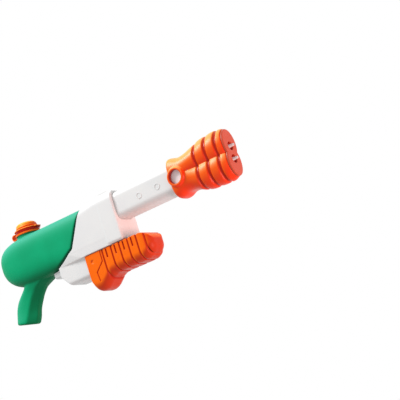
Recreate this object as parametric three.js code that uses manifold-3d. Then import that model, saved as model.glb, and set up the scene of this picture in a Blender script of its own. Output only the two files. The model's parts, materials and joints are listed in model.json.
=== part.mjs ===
// A pump-action water squirter: a blow-moulded tank with its pistol grip, a two-piece housing,
// a barrel with a twin-jet nozzle, and a sliding pump grip that drives a piston under the housing.
// Millimetres. +X runs forward along the barrel, +Y to the left, +Z up.
import * as THREE from "three";
import { mergeVertices } from "three/addons/utils/BufferGeometryUtils.js";
import Module from "manifold-3d";

const wasm = await Module();
wasm.setup();

// Clearances and walls
const FIT = 0.3; // between pieces that seat on each other
const SPLIT = 0.3; // between the two halves of a moulded shell
const SLIDE = 0.7; // each side of the pump grip on its rail
const WALL = 2.4; // housing, barrel and nozzle
const TANK_WALL = 2.5;
const PUMP_WALL = 2.7;

// Barrel
const BARREL_Z = 39.4; // its axis above the datum
const BARREL_WIDTH = 52;
const BARREL_HEIGHT = 54.6;
const BARREL_CORNER = 13;
const BARREL_REAR = -24;
const BARREL_FRONT = 190;
const BARREL_FLANGE = 3; // lip at its rear end that the housing holds
const BARREL_FLANGE_LENGTH = 3;
const PLUG_LENGTH = 14; // plug in the barrel's front end

// Housing
const BODY_WIDTH = 66;
const BODY_FRONT = 13; // plane of the front face
const BODY_TOP = 71;
const BODY_TOP_REAR = 66.5;
const BODY_CORNER = 17;
const COLLAR_LENGTH = 37; // thicker front part of the housing
const COLLAR_PROUD = 0.8;
const COLLAR_LOW = -28.5; // just above the pump grip
const CREST_HEIGHT = 9.5; // ramp on the collar above the crown
const CREST_WIDTH = 42;
const LEDGE_Z = -17; // underside of the upper housing
const RAIL_WIDTH = 53.2; // lower housing, which the pump grip rides on
const RAIL_LOW = -71;
const RAIL_FRONT = -14;
const RAIL_CORNER = 8;
const HEEL_X = -158; // rear of the lower housing
const HEEL_RISE = 22.5; // height of the slope under its rear
const HEEL_RUN = 17.5;
const HEEL_LUG_LENGTH = 23; // block behind the lower housing, under the tank
const HEEL_LUG_WIDTH = 36;
const HEEL_LUG_LOW = -45;
const HEEL_LUG_CORNER = 5;

// Seam between the housing and the tank, seen from the side
const SEAM_TOP = [-66, 66];
const SEAM_KNEE = [-109, -5];
const SEAM_MID = [-137, -20];
const SEAM_HEEL = [-160, -29.5];
const SEAM_TAIL = [-205, -35.5]; // under the tank, behind the heel
const SEAM_GAP = 0.5;

// Tank and pistol grip
const TANK_WIDTH = 68;
const TANK_TOP = 65.5;
const TANK_LOW = -36;
const TANK_NOSE = -225; // where the rounded rear begins
const TANK_REAR = -309;
const TANK_MID = 20; // height of its rearmost point
const GRIP_WIDTH = 34;
const GRIP_DEPTH = 54;
const GRIP_TOP_X = -243;
const GRIP_BASE_X = -288;
const GRIP_BASE_Z = -104;
const GRIP_BASE_TILT = 14; // degrees
const LUG_THICKNESS = 10; // tongues of the tank that the housing screws hold

// Filler neck and cap
const NECK_X = -226;
const NECK_RADIUS = 24.2;
const NECK_BORE = 20;
const NECK_TOP = 73;
const CAP_RADIUS = 27.5;
const CAP_FLANGE = 6;
const CAP_KNOB_RADIUS = 21.5;
const CAP_TOP = 95;
const CAP_WALL = 3;
const CAP_PLUG_DEPTH = 5;
const CAP_PLUG_GAP = 0.7; // lets the plug swing out of the neck
const GASKET = 1.2;
const STRAP_WIDTH = 12;
const STRAP_THICKNESS = 2.2;
const STRAP_REACH = 40; // behind the neck's axis

// Nozzle
const NOZZLE_REAR = 150;
const NOZZLE_FRONT = 277;
const NOZZLE_MID = 42; // height between the two jets
const FACE_PLANE = 281.5;
const SPIGOT = 6; // depth of the face plate's plug in the shroud
const GROOVES = [210.5, 234.5, 259.5];
const GROOVE_WIDTH = 3.4;
const GROOVE_DEPTH = 1.9;
const WINDOW_X = 167;
const WINDOW_Z = 37.5;
const WINDOW_RADIUS = 14.5;
const WINDOW_RIM = 4;
const WINDOW_FACE = 34.5; // rim's distance from the centre plane
const JET_SPACING = 25.4;
const JET_RADIUS = 4;
const JET_BORE = 1.2;
const JET_TIP = 289;
const JET_RECESS = 8.5;
const JET_RECESS_DEPTH = 2.2;

// Pump
const STROKE = 50;
const PUMP_REAR = -87.5;
const PUMP_NOSE = 66.5;
const PUMP_WIDTH = RAIL_WIDTH + 2 * (SLIDE + PUMP_WALL);
const PUMP_TOP = -29.8;
const PUMP_LOW = -83; // in the hand hollow
const PUMP_LOBE = 22; // how far the rear lobe hangs below that
const PUMP_CORNER = 19; // along its underside
const PUMP_EDGE = 3.5; // along its upper edges
const PUMP_NOSE_LENGTH = 26.5; // where the blunt nose begins to round off
const PUMP_NOSE_Z = -56; // height of its foremost point
const LIP = 3.2; // lips that hold the pump grip on the rail
const LIP_REAR = -32;
const LIP_FRONT = 38;
const BULKHEAD_X = 52; // wall in the nose that holds the rod
const BULKHEAD = 10;
const PUMP_GROOVES = [-44, -22, -1.5, 19, 40];
const PUMP_GROOVE_WIDTH = 2.4;
const PUMP_GROOVE_DEPTH = 1.1;
const CYLINDER_Z = -48;
const CYLINDER_BORE = 13;
const CYLINDER_WALL = 2.5;
const CYLINDER_FRONT = -36;
const CYLINDER_REAR = -108;
const ROD_RADIUS = 5;
const PISTON_LENGTH = 12;
const PISTON_FRONT = -41;
const RING_RADIUS = 1.3; // section of the piston ring
const GLAND_RADIUS = 18;
const PIN_RADIUS = 2;
const PIN_LENGTH = 20;

// Valves and hoses
const VALVE_WIDTH = 18;
const INLET_X = -133;
const OUTLET_X = -117.5;
const FEED_X = -143;
const PASSAGE = 2.8;
const BALL_RADIUS = 4.4;
const BALL_LIFT = 2;
const BARB_RADIUS = 4.3;
const HOSE_WALL = 1.7;
const OUTLET_Z = -24.5;

// Screws
const SHANK_RADIUS = 1.5;
const HEAD_RADIUS = 3.2;
const HEAD_HEIGHT = 2.2;
const HEAD_SUNK = 1.6;
const BOSS_RADIUS = 5.6;
const SCREW_BITE = 5; // how far a shank goes past the split
const NOZZLE_SCREW_LENGTH = 14;
const BODY_SCREWS = { upper: [-54, 55], middle: [-83, 14], front: [2, -7] };
const BRIDGE_SCREW = [-26, -22.4];
const HEEL_SCREW = [HEEL_X - HEEL_LUG_LENGTH / 2, -38.3];

const colours = {
  green: new THREE.MeshStandardMaterial({ color: 0x04a368, roughness: 0.5, metalness: 0 }),
  white: new THREE.MeshStandardMaterial({ color: 0xe8e8e8, roughness: 0.45, metalness: 0 }),
  orange: new THREE.MeshStandardMaterial({ color: 0xf0641e, roughness: 0.4, metalness: 0 }),
  clear: new THREE.MeshStandardMaterial({ color: 0xd7dcdc, roughness: 0.3, metalness: 0 }),
  grey: new THREE.MeshStandardMaterial({ color: 0x7d8285, roughness: 0.5, metalness: 0 }),
  rubber: new THREE.MeshStandardMaterial({ color: 0x1f2022, roughness: 0.8, metalness: 0 }),
  steel: new THREE.MeshStandardMaterial({ color: 0xb9bcc0, roughness: 0.35, metalness: 1 }),
};

// Joining and cutting

function solid(geometry) {
  const bare = geometry.clone();
  bare.deleteAttribute("normal");
  bare.deleteAttribute("uv");
  const merged = mergeVertices(bare, 1e-4);
  return new wasm.Manifold(
    new wasm.Mesh({
      numProp: 3,
      vertProperties: Float32Array.from(merged.attributes.position.array),
      triVerts: Uint32Array.from(merged.index.array),
    }),
  );
}

function geometryOf(shape) {
  const { vertProperties, triVerts } = shape.getMesh();
  const geometry = new THREE.BufferGeometry();
  geometry.setAttribute("position", new THREE.BufferAttribute(vertProperties, 3));
  geometry.setIndex(new THREE.BufferAttribute(triVerts, 1));
  geometry.computeVertexNormals();
  return geometry;
}

const join = (first, ...rest) => rest.reduce((sum, piece) => sum.add(piece), first);
const cut = (first, ...rest) => rest.reduce((left, tool) => left.subtract(tool), first);

// Basic solids

function box(x0, x1, y0, y1, z0, z1) {
  const geometry = new THREE.BoxGeometry(x1 - x0, y1 - y0, z1 - z0);
  return solid(geometry.translate((x0 + x1) / 2, (y0 + y1) / 2, (z0 + z1) / 2));
}

function slab(x0, x1, halfWidth, z0, z1) {
  return box(x0, x1, -halfWidth, halfWidth, z0, z1);
}

function rodX(radius, x0, x1, y, z, sides = 16) {
  const geometry = new THREE.CylinderGeometry(radius, radius, x1 - x0, sides);
  return solid(geometry.rotateZ(Math.PI / 2).translate((x0 + x1) / 2, y, z));
}

function rodY(radius, y0, y1, x, z, sides = 10) {
  const geometry = new THREE.CylinderGeometry(radius, radius, y1 - y0, sides);
  return solid(geometry.translate(x, (y0 + y1) / 2, z));
}

function rodZ(radius, z0, z1, x, y, sides = 10) {
  const geometry = new THREE.CylinderGeometry(radius, radius, z1 - z0, sides);
  return solid(geometry.rotateX(Math.PI / 2).translate(x, y, (z0 + z1) / 2));
}

// A profile of [radius, height] points turned round a vertical axis.
function turned(profile, x, sides = 20) {
  const points = profile.map(([radius, height]) => new THREE.Vector2(radius, height));
  return solid(new THREE.LatheGeometry(points, sides).rotateX(Math.PI / 2).translate(x, 0, 0));
}

// A side outline of [x, z] points extruded across the width.
function outline(points, halfWidth) {
  const shape = new THREE.Shape(points.map(([x, z]) => new THREE.Vector2(x, z)));
  const geometry = new THREE.ExtrudeGeometry(shape, { depth: 2 * halfWidth, bevelEnabled: false });
  return solid(geometry.rotateX(Math.PI / 2).translate(0, halfWidth, 0));
}

// A hose: a round section with a bore, swept along points in the centre plane.
function hose(points, outer, inner, steps) {
  const path = new THREE.CatmullRomCurve3(points.map(([x, z]) => new THREE.Vector3(x, 0, z)));
  const section = new THREE.Shape().absarc(0, 0, outer, 0, 2 * Math.PI);
  section.holes.push(new THREE.Path().absarc(0, 0, inner, 0, 2 * Math.PI, true));
  return solid(new THREE.ExtrudeGeometry(section, { steps, extrudePath: path, curveSegments: 4 }));
}

// Skins rings of equal point counts; each ring runs anticlockwise seen from the end that follows it.
function loft(rings) {
  const count = rings[0].length;
  const centre = (ring) => ring.reduce((sum, p) => sum.add(p), new THREE.Vector3()).divideScalar(count);
  const points = [...rings.flat(), centre(rings[0]), centre(rings.at(-1))];
  const first = rings.length * count;
  const index = [];
  for (let i = 0; i < count; i += 1) {
    const next = (i + 1) % count;
    for (let k = 0; k < rings.length - 1; k += 1) {
      const a = k * count + i;
      const b = k * count + next;
      index.push(a, b, b + count, a, b + count, a + count);
    }
    index.push(first, next, i, first + 1, first - count + i, first - count + next);
  }
  const geometry = new THREE.BufferGeometry().setFromPoints(points);
  geometry.setIndex(index);
  return solid(geometry);
}

const ringAt = (x, section) => section.map(([y, z]) => new THREE.Vector3(x, y, z));

// Cross-sections, as [y, z] points anticlockwise from the right-hand lower corner

function roundedSection(halfWidth, low, high, lowCorner, highCorner = lowCorner, steps = 3) {
  const corners = [
    [halfWidth - lowCorner, low + lowCorner, lowCorner, -90],
    [halfWidth - highCorner, high - highCorner, highCorner, 0],
    [highCorner - halfWidth, high - highCorner, highCorner, 90],
    [lowCorner - halfWidth, low + lowCorner, lowCorner, 180],
  ];
  return corners.flatMap(([y, z, radius, start]) =>
    Array.from({ length: steps + 1 }, (_, i) => {
      const angle = THREE.MathUtils.degToRad(start + (90 * i) / steps);
      return [y + radius * Math.cos(angle), z + radius * Math.sin(angle)];
    }),
  );
}

// An oval whose upper and lower halves have their own squareness.
function ovalSection(halfWidth, low, high, squareLow, squareHigh, count = 24) {
  const middle = (low + high) / 2;
  const half = (high - low) / 2;
  return Array.from({ length: count }, (_, i) => {
    const angle = (2 * Math.PI * i) / count;
    const power = 2 / (Math.sin(angle) < 0 ? squareLow : squareHigh);
    const bend = (v) => Math.sign(v) * Math.abs(v) ** power;
    return [halfWidth * bend(Math.cos(angle)), middle + half * bend(Math.sin(angle))];
  });
}

// Two stacked lobes with a crease between them; `lobed` runs from a squarish oval at 0 to full lobes at 1.
function lobedSection(halfWidth, low, high, lobed, count = 24) {
  const lobeCentre = 0.375;
  const middle = (low + high) / 2;
  const half = (high - low) / 2;
  return Array.from({ length: count }, (_, i) => {
    const angle = (2 * Math.PI * i) / count - Math.PI / 2;
    const t = Math.sin(angle);
    const squarish = (1 - Math.abs(t) ** 3) ** (1 / 3);
    const onLobe = (Math.abs(t) - lobeCentre) / (1 - lobeCentre);
    const lobes = Math.sqrt(Math.max(0, 1 - onLobe * onLobe));
    const width = halfWidth * THREE.MathUtils.lerp(squarish, lobes, lobed);
    return [width * Math.sign(Math.round(1e6 * Math.cos(angle))), middle + half * t];
  });
}

// Smooth values through rows of [position, value, value ...].
function sampler(rows) {
  const curve = new THREE.CubicInterpolant(
    rows.map((row) => row[0]),
    rows.flatMap((row) => row.slice(1)),
    rows[0].length - 1,
  );
  return (x) => Array.from(curve.evaluate(x));
}

const between = (a, b, count) =>
  Array.from({ length: count }, (_, i) => THREE.MathUtils.lerp(a, b, i / (count - 1)));

const mirrored = (make) => join(make(-1), make(1));

// The region behind the seam, seen from the side, moved towards the housing by `shift`.
function behindSeam(shift) {
  const line = [SEAM_TOP, SEAM_KNEE, SEAM_MID, SEAM_HEEL].map(([x, z]) => new THREE.Vector2(x, z));
  const rise = line[0].clone().sub(line[1]);
  line.unshift(line[0].clone().addScaledVector(rise, 40 / rise.y));
  line.push(new THREE.Vector2(...SEAM_TAIL));
  const normals = line.slice(1).map((p, i) => {
    const along = p.clone().sub(line[i]).normalize();
    return new THREE.Vector2(-along.y, along.x);
  });
  const moved = line.map((p, i) => {
    const before = normals[Math.max(0, i - 1)];
    const after = normals[Math.min(normals.length - 1, i)];
    const mitre = before.clone().add(after).normalize();
    return p.clone().addScaledVector(mitre, shift / mitre.dot(after));
  });
  const far = TANK_REAR - 40;
  const tail = moved.at(-1);
  return [...moved.map((p) => [p.x, p.y]), [far, tail.y], [far, moved[0].y]];
}

// Screw with its head towards +Y; `seat` is the plane under the head.
function screw([x, z], seat, length = seat + SCREW_BITE) {
  const profile = [
    [0, seat - length],
    [SHANK_RADIUS, seat - length + 1],
    [SHANK_RADIUS, seat],
    [HEAD_RADIUS, seat],
    [HEAD_RADIUS, seat + HEAD_HEIGHT * 0.6],
    [HEAD_RADIUS * 0.6, seat + HEAD_HEIGHT],
    [0, seat + HEAD_HEIGHT],
  ];
  const points = profile.map(([radius, y]) => new THREE.Vector2(radius, y));
  return solid(new THREE.LatheGeometry(points, 7).translate(x, 0, z));
}

// The hole that the screw goes through, with its counterbore open to the outside.
function screwHole([x, z], seat, length = seat + SCREW_BITE) {
  return join(
    rodY(SHANK_RADIUS + FIT, seat - length - 1, seat, x, z, 10),
    rodY(HEAD_RADIUS + FIT, seat - FIT, seat + 20, x, z, 10),
  );
}

// Tank

function tankSkin(wall) {
  const half = TANK_WIDTH / 2 - wall;
  const top = TANK_TOP - wall;
  const low = TANK_LOW + wall;
  const rear = TANK_REAR + wall;
  const front = SEAM_TOP[0] + 20;
  const nose = TANK_NOSE - rear;
  const straight = [front, SEAM_KNEE[0], SEAM_MID[0], HEEL_X, TANK_NOSE];
  const turns = wall > 0 ? [0.4, 0.7, 0.88, 0.98] : [0.25, 0.46, 0.64, 0.79, 0.9, 0.965, 0.995];
  const round = turns.map((u) => TANK_NOSE - u * nose);
  const rings = [...straight, ...round].map((x) => {
    const u = Math.max(0, (TANK_NOSE - x) / nose);
    const width = half * (1 - u ** 2.6) ** (1 / 2.6);
    const high = TANK_MID + (top - TANK_MID) * (1 - u ** 3) ** (1 / 3);
    const deep = TANK_MID - (TANK_MID - low) * (1 - u ** 2.3) ** (1 / 2.3);
    const blend = Math.min(1, Math.max(0, (x - HEEL_X) / (SEAM_KNEE[0] - HEEL_X)));
    const square = 1 - u;
    const section = ovalSection(width, deep - 12 * blend, high, 2.4 + 0.6 * square, 2.3 + 1.5 * square, wall > 0 ? 16 : 24);
    return ringAt(x, section);
  });
  return loft(rings.reverse());
}

function gripSkin(wall) {
  const lean = (GRIP_BASE_X - GRIP_TOP_X) / (GRIP_BASE_Z - TANK_LOW);
  // Rows of height above the base, swell of the front, swell of the back, share of the width.
  const rows = sampler([
    [-14, 2, -2, 1.1],
    [6, 1.5, 2.5, 1.05],
    [23, -2.5, 9.5, 0.98],
    [37, -2.5, 14, 0.98],
    [51, -1, 13.5, 1.02],
    [60.5, 4, 8.5, 1.1],
    [68.5, 20, 3, 1.22],
    [80.5, 34, -2, 1.42],
  ]);
  const rings = between(-14, 80.5, 11).map((height) => {
    const [frontSwell, backSwell, share] = rows(height);
    const z = GRIP_BASE_Z + height;
    const middle = GRIP_BASE_X + lean * height;
    const front = GRIP_DEPTH / 2 + frontSwell - wall;
    const back = GRIP_DEPTH / 2 + backSwell - wall;
    const half = (GRIP_WIDTH * share) / 2 - wall;
    return Array.from({ length: 16 }, (_, i) => {
      const angle = (2 * Math.PI * i) / 16;
      const forward = Math.cos(angle) > 0;
      const power = forward ? 1.15 : 0.8;
      const bend = (v) => Math.sign(v) * Math.abs(v) ** power;
      const depth = forward ? front : back;
      return new THREE.Vector3(middle + depth * bend(Math.cos(angle)), half * bend(Math.sin(angle)), z);
    });
  });
  return loft(rings);
}

// Everything below the grip's flat base, which leans with the grip.
function belowGrip(raise) {
  const geometry = new THREE.BoxGeometry(160, 160, 60).translate(0, 0, raise - 30);
  geometry.rotateY(THREE.MathUtils.degToRad(GRIP_BASE_TILT));
  return solid(geometry.translate(GRIP_BASE_X, 0, GRIP_BASE_Z));
}

const seamFloor = (x) => {
  const share = (x - SEAM_MID[0]) / (SEAM_HEEL[0] - SEAM_MID[0]);
  return THREE.MathUtils.lerp(SEAM_MID[1], SEAM_HEEL[1], share);
};

function tank() {
  const wide = TANK_WIDTH;
  const lugs = [BODY_SCREWS.upper, BODY_SCREWS.middle].map(([x, z]) =>
    join(
      slab(x - 34, x, LUG_THICKNESS / 2, z - BOSS_RADIUS, z + BOSS_RADIUS),
      rodY(BOSS_RADIUS, -LUG_THICKNESS / 2, LUG_THICKNESS / 2, x, z),
    ),
  );
  const nippleEnd = seamFloor(FEED_X) - 7;
  const skin = join(
    tankSkin(0).intersect(outline(behindSeam(0), wide)),
    cut(gripSkin(0), belowGrip(0)),
    rodZ(NECK_RADIUS, TANK_MID, NECK_TOP, NECK_X, 0, 24),
    rodZ(BARB_RADIUS, nippleEnd, TANK_MID, FEED_X, 0),
    ...lugs,
  );
  const hollow = join(
    tankSkin(TANK_WALL).intersect(outline(behindSeam(-TANK_WALL), wide)),
    cut(gripSkin(TANK_WALL), belowGrip(TANK_WALL)),
    rodZ(NECK_BORE, TANK_MID, NECK_TOP + 1, NECK_X, 0, 24),
    rodZ(PASSAGE, nippleEnd - 1, TANK_MID, FEED_X, 0),
  );
  const holes = [BODY_SCREWS.upper, BODY_SCREWS.middle].map(([x, z]) =>
    rodY(SHANK_RADIUS + FIT, -wide, wide, x, z, 10),
  );
  return cut(skin, hollow, ...holes);
}

// Cup with slots that keeps grit out of the pump, pushed into the tank's outlet.
function strainer() {
  const radius = BARB_RADIUS + 2;
  const foot = seamFloor(FEED_X + radius) + 1.1 * TANK_WALL + FIT;
  const top = foot + 12;
  const cup = turned(
    [
      [PASSAGE - 1.2, foot - 7],
      [PASSAGE - FIT, foot - 7],
      [PASSAGE - FIT, foot],
      [radius, foot],
      [radius, top],
      [0, top],
      [0, top - 1.2],
      [radius - 1.2, top - 1.2],
      [radius - 1.2, foot + 1.2],
      [PASSAGE - 1.2, foot + 1.2],
      [PASSAGE - 1.2, foot - 7],
    ],
    FEED_X,
    12,
  );
  const acrossSlot = slab(FEED_X - 1, FEED_X + 1, 2 * radius, foot + 3, top - 3);
  const alongSlot = slab(FEED_X - 2 * radius, FEED_X + 2 * radius, 1, foot + 3, top - 3);
  return cut(cup, acrossSlot, alongSlot);
}

function fillerCap() {
  const seat = NECK_TOP + GASKET + 2 * FIT;
  const plug = NECK_BORE - CAP_PLUG_GAP;
  const shoulder = seat + CAP_FLANGE;
  const cap = turned(
    [
      [0, CAP_TOP - CAP_WALL],
      [CAP_KNOB_RADIUS - 2.5 * CAP_WALL, CAP_TOP - 2 * CAP_WALL],
      [plug - CAP_WALL, shoulder],
      [plug - CAP_WALL, NECK_TOP - CAP_PLUG_DEPTH],
      [plug - 1, NECK_TOP - CAP_PLUG_DEPTH],
      [plug, NECK_TOP - CAP_PLUG_DEPTH + 2],
      [plug, seat],
      [CAP_RADIUS - 1, seat],
      [CAP_RADIUS, seat + 1.2],
      [CAP_RADIUS, shoulder - 1.5],
      [CAP_RADIUS - 1.5, shoulder],
      [CAP_KNOB_RADIUS - 1.2, shoulder],
      [CAP_KNOB_RADIUS - 1.2, shoulder + 1.8],
      [CAP_KNOB_RADIUS + 1, shoulder + 2.6],
      [CAP_KNOB_RADIUS, CAP_TOP - 6],
      [CAP_KNOB_RADIUS - 3, CAP_TOP - 2.2],
      [CAP_KNOB_RADIUS - 8, CAP_TOP - 0.3],
      [0, CAP_TOP],
    ],
    NECK_X,
    24,
  );
  const lipReach = CAP_RADIUS + 3;
  const lip = outline(
    [
      [NECK_X + CAP_RADIUS - 4, seat + 1.5],
      [NECK_X + lipReach - 1, seat + 3],
      [NECK_X + lipReach, seat + 4.6],
      [NECK_X + lipReach - 2, shoulder],
      [NECK_X + CAP_RADIUS - 4, shoulder],
    ],
    8,
  );
  return join(cap, lip);
}

function capGasket() {
  const low = NECK_TOP + FIT;
  const inner = NECK_BORE - CAP_PLUG_GAP + FIT;
  const outer = NECK_RADIUS - 1.5;
  return turned([[inner, low], [outer, low], [outer, low + GASKET], [inner, low + GASKET], [inner, low]], NECK_X);
}

// Soft strap: a ring round the neck and a loop up to the rear of the cap.
function capStrap() {
  const seat = NECK_TOP + GASKET + 2 * FIT;
  const inner = NECK_RADIUS + FIT;
  const ringTop = NECK_TOP - 0.6;
  const ringLow = ringTop - 3.4;
  const outer = inner + STRAP_THICKNESS;
  const ring = turned(
    [[inner, ringLow], [outer, ringLow], [outer, ringTop], [inner, ringTop], [inner, ringLow]],
    NECK_X,
  );
  const rear = NECK_X - STRAP_REACH;
  const loopTop = seat + CAP_FLANGE - 0.8;
  const edge = NECK_X - CAP_RADIUS - FIT;
  const t = STRAP_THICKNESS;
  const loop = outline(
    [
      [NECK_X - inner - 0.5, ringLow],
      [NECK_X - inner - 0.5, ringLow + t],
      [rear + t + 2, ringLow + t],
      [rear + t, ringLow + t + 2],
      [rear + t, loopTop - t - 2],
      [rear + t + 2, loopTop - t],
      [edge, loopTop - t],
      [edge, loopTop],
      [rear + 2.6, loopTop],
      [rear, loopTop - 2.6],
      [rear, ringLow + 2.6],
      [rear + 2.6, ringLow],
    ],
    STRAP_WIDTH / 2,
  );
  return join(ring, loop);
}

// Housing

function upperSkin(wall) {
  const half = BODY_WIDTH / 2 - wall;
  const front = BODY_FRONT - wall;
  const rear = SEAM_KNEE[0] - 12;
  const slopeFront = BODY_FRONT - COLLAR_LENGTH - 10;
  const slope = (BODY_TOP - BODY_TOP_REAR) / 30;
  const top = (x) => BODY_TOP - slope * Math.max(0, slopeFront - x);
  const section = (x, inset) =>
    ringAt(
      x,
      roundedSection(half - inset, LEDGE_Z + wall, top(x) - wall - inset, 5 - wall / 2, BODY_CORNER - wall),
    );
  return loft([section(rear, 0), section(slopeFront, 0), section(front - 4, 0), section(front, 0.6)]);
}

// The thicker front part, with the ramp on its crown.
function collarSkin(wall) {
  const half = BODY_WIDTH / 2 + COLLAR_PROUD - wall;
  const rear = BODY_FRONT - COLLAR_LENGTH + wall;
  const front = BODY_FRONT - wall;
  const section = (x, inset) =>
    ringAt(
      x,
      roundedSection(
        half - inset,
        COLLAR_LOW + wall + inset,
        BODY_TOP + COLLAR_PROUD - wall - inset,
        5 - wall / 2,
        BODY_CORNER - wall,
      ),
    );
  return loft([section(rear, COLLAR_PROUD), section(rear + 1.5, 0), section(front - 2, 0), section(front, 1.4)]);
}

function crest() {
  const rear = BODY_FRONT - COLLAR_LENGTH - 3;
  const peak = BODY_TOP + CREST_HEIGHT;
  const low = BODY_TOP - BODY_CORNER / 3;
  const ramp = outline(
    [
      [rear, low],
      [BODY_FRONT - 1, low],
      [BODY_FRONT - 1, BODY_TOP + 0.6],
      [BODY_FRONT - 4, BODY_TOP + 2],
      [rear + 21, peak - 2],
      [rear + 13, peak],
      [rear + 9, peak - 0.8],
      [rear + 4.5, peak - 3.4],
    ],
    CREST_WIDTH,
  );
  const rings = [rear - 1, BODY_FRONT].map((x) =>
    ringAt(x, roundedSection(CREST_WIDTH / 2, 0, peak + 0.1, 4, 6)),
  );
  return ramp.intersect(loft(rings));
}

// Side view of the lower housing, drawn in by `inset`.
function railSide(inset) {
  const low = RAIL_LOW + inset;
  const front = RAIL_FRONT - inset;
  const rear = HEEL_X + inset;
  return outline(
    [
      [front, BODY_TOP / 2],
      [front, low + 2],
      [front - 2, low],
      [rear + HEEL_RUN + 3, low],
      [rear + HEEL_RUN, low + 1.5],
      [rear, RAIL_LOW + HEEL_RISE + inset / 2],
      [rear, BODY_TOP / 2],
    ],
    RAIL_WIDTH,
  );
}

function railSkin(wall) {
  const high = LEDGE_Z + 12;
  const half = RAIL_WIDTH / 2 - wall;
  const rings = [HEEL_X - 6, RAIL_FRONT + 1].map((x) =>
    ringAt(x, roundedSection(half, RAIL_LOW + wall, high, RAIL_CORNER - wall / 2, 2, 3)),
  );
  return loft(rings).intersect(railSide(wall));
}

// Rounded block behind the lower housing, just in front of the pistol grip.
function heelLug() {
  const rear = HEEL_X - HEEL_LUG_LENGTH;
  const half = HEEL_LUG_WIDTH / 2;
  const corner = HEEL_LUG_CORNER;
  const block = (x, inset) =>
    ringAt(x, roundedSection(half - inset, HEEL_LUG_LOW + inset, SEAM_HEEL[1] + corner, corner, 1));
  return loft([
    block(rear, 0.6 * corner),
    block(rear + 0.3 * corner, 0.2 * corner),
    block(rear + corner, 0),
    block(HEEL_X + WALL, 0),
  ]);
}

function barrelSection(grow, corner = BARREL_CORNER) {
  const half = BARREL_HEIGHT / 2 + grow;
  return roundedSection(BARREL_WIDTH / 2 + grow, BARREL_Z - half, BARREL_Z + half, corner + grow, corner + grow);
}

const barrelBar = (grow, x0, x1) => loft([ringAt(x0, barrelSection(grow)), ringAt(x1, barrelSection(grow))]);

function housing() {
  const skin = join(upperSkin(0), collarSkin(0), crest(), railSkin(0), heelLug());
  const hollow = join(upperSkin(WALL), collarSkin(WALL), railSkin(WALL));
  const cylinderOuter = CYLINDER_BORE + CYLINDER_WALL;

  // Cradle that holds the flange of the barrel, and saddles under the pump cylinder.
  const cradleRear = BARREL_REAR - 2 * WALL;
  const cradleFront = BARREL_REAR + BARREL_FLANGE_LENGTH + 2 * WALL;
  const cradle = slab(cradleRear, cradleFront, BODY_WIDTH, LEDGE_Z + 14, BODY_TOP + 20);
  const saddleTop = CYLINDER_Z + cylinderOuter - 1;
  const saddles = [CYLINDER_FRONT - WALL - FIT, CYLINDER_REAR + 8].map(
    (x) => slab(x, x + WALL, RAIL_WIDTH, RAIL_LOW - 5, saddleTop),
  );

  // Thick strip inside each side of the rail, where the groove for the pump's lips is cut.
  const lipLow = PUMP_TOP - LIP;
  const grooveRear = LIP_REAR - STROKE - 3;
  const strip = mirrored((side) => {
    const inner = RAIL_WIDTH / 2 - LIP - 2 * WALL;
    const span = [side * inner, (side * RAIL_WIDTH) / 2].sort((a, b) => a - b);
    return box(grooveRear - WALL, RAIL_FRONT, ...span, lipLow - FIT - WALL, PUMP_TOP + FIT + WALL);
  });
  const groove = mirrored((side) => {
    const inner = RAIL_WIDTH / 2 - LIP - FIT;
    const span = [side * inner, side * RAIL_WIDTH].sort((a, b) => a - b);
    return box(grooveRear, RAIL_FRONT + 5, ...span, lipLow - SLIDE, PUMP_TOP + SLIDE);
  });

  const bodyBosses = Object.values(BODY_SCREWS).map(([x, z]) => rodY(BOSS_RADIUS, -BODY_WIDTH, BODY_WIDTH, x, z));
  const bridgeBoss = rodY(BOSS_RADIUS - 1, -RAIL_WIDTH, RAIL_WIDTH, ...BRIDGE_SCREW);
  const lugSlots = [BODY_SCREWS.upper, BODY_SCREWS.middle].map(([x, z]) =>
    slab(x - 40, x + BOSS_RADIUS + FIT, LUG_THICKNESS / 2 + FIT, z - BOSS_RADIUS - FIT, z + BOSS_RADIUS + FIT),
  );
  const inside = join(cradle, ...saddles, strip, ...bodyBosses, bridgeBoss).intersect(skin);

  return cut(
    join(cut(skin, hollow), inside),
    outline(behindSeam(SEAM_GAP), BODY_WIDTH),
    barrelBar(FIT, BARREL_REAR - FIT, BODY_FRONT + 5),
    barrelBar(BARREL_FLANGE + FIT, BARREL_REAR - FIT, BARREL_REAR + BARREL_FLANGE_LENGTH + FIT),
    barrelBar(-BARREL_FLANGE - WALL, cradleRear - 1, BARREL_REAR),
    rodX(cylinderOuter + FIT, CYLINDER_REAR, CYLINDER_FRONT, 0, CYLINDER_Z),
    rodX(ROD_RADIUS + 2 * FIT, CYLINDER_FRONT, RAIL_FRONT + 5, 0, CYLINDER_Z),
    groove,
    ...lugSlots,
    ...Object.values(BODY_SCREWS).map((spot) => screwHole(spot, bodySeat)),
    screwHole(BRIDGE_SCREW, railSeat),
    screwHole(HEEL_SCREW, heelSeat),
  );
}

const bodySeat = BODY_WIDTH / 2 - HEAD_HEIGHT - HEAD_SUNK;
const railSeat = RAIL_WIDTH / 2 - HEAD_HEIGHT - HEAD_SUNK;
const heelSeat = HEEL_LUG_WIDTH / 2 - HEAD_HEIGHT - HEAD_SUNK;
const pumpSeat = PUMP_WIDTH / 2 - HEAD_HEIGHT - HEAD_SUNK;

const FAR = 400; // beyond everything
const leftHalf = () => box(-FAR, FAR, SPLIT / 2, FAR, -FAR, FAR);
const rightHalf = () => box(-FAR, FAR, -FAR, -SPLIT / 2, -FAR, FAR);

// Barrel and nozzle

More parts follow.
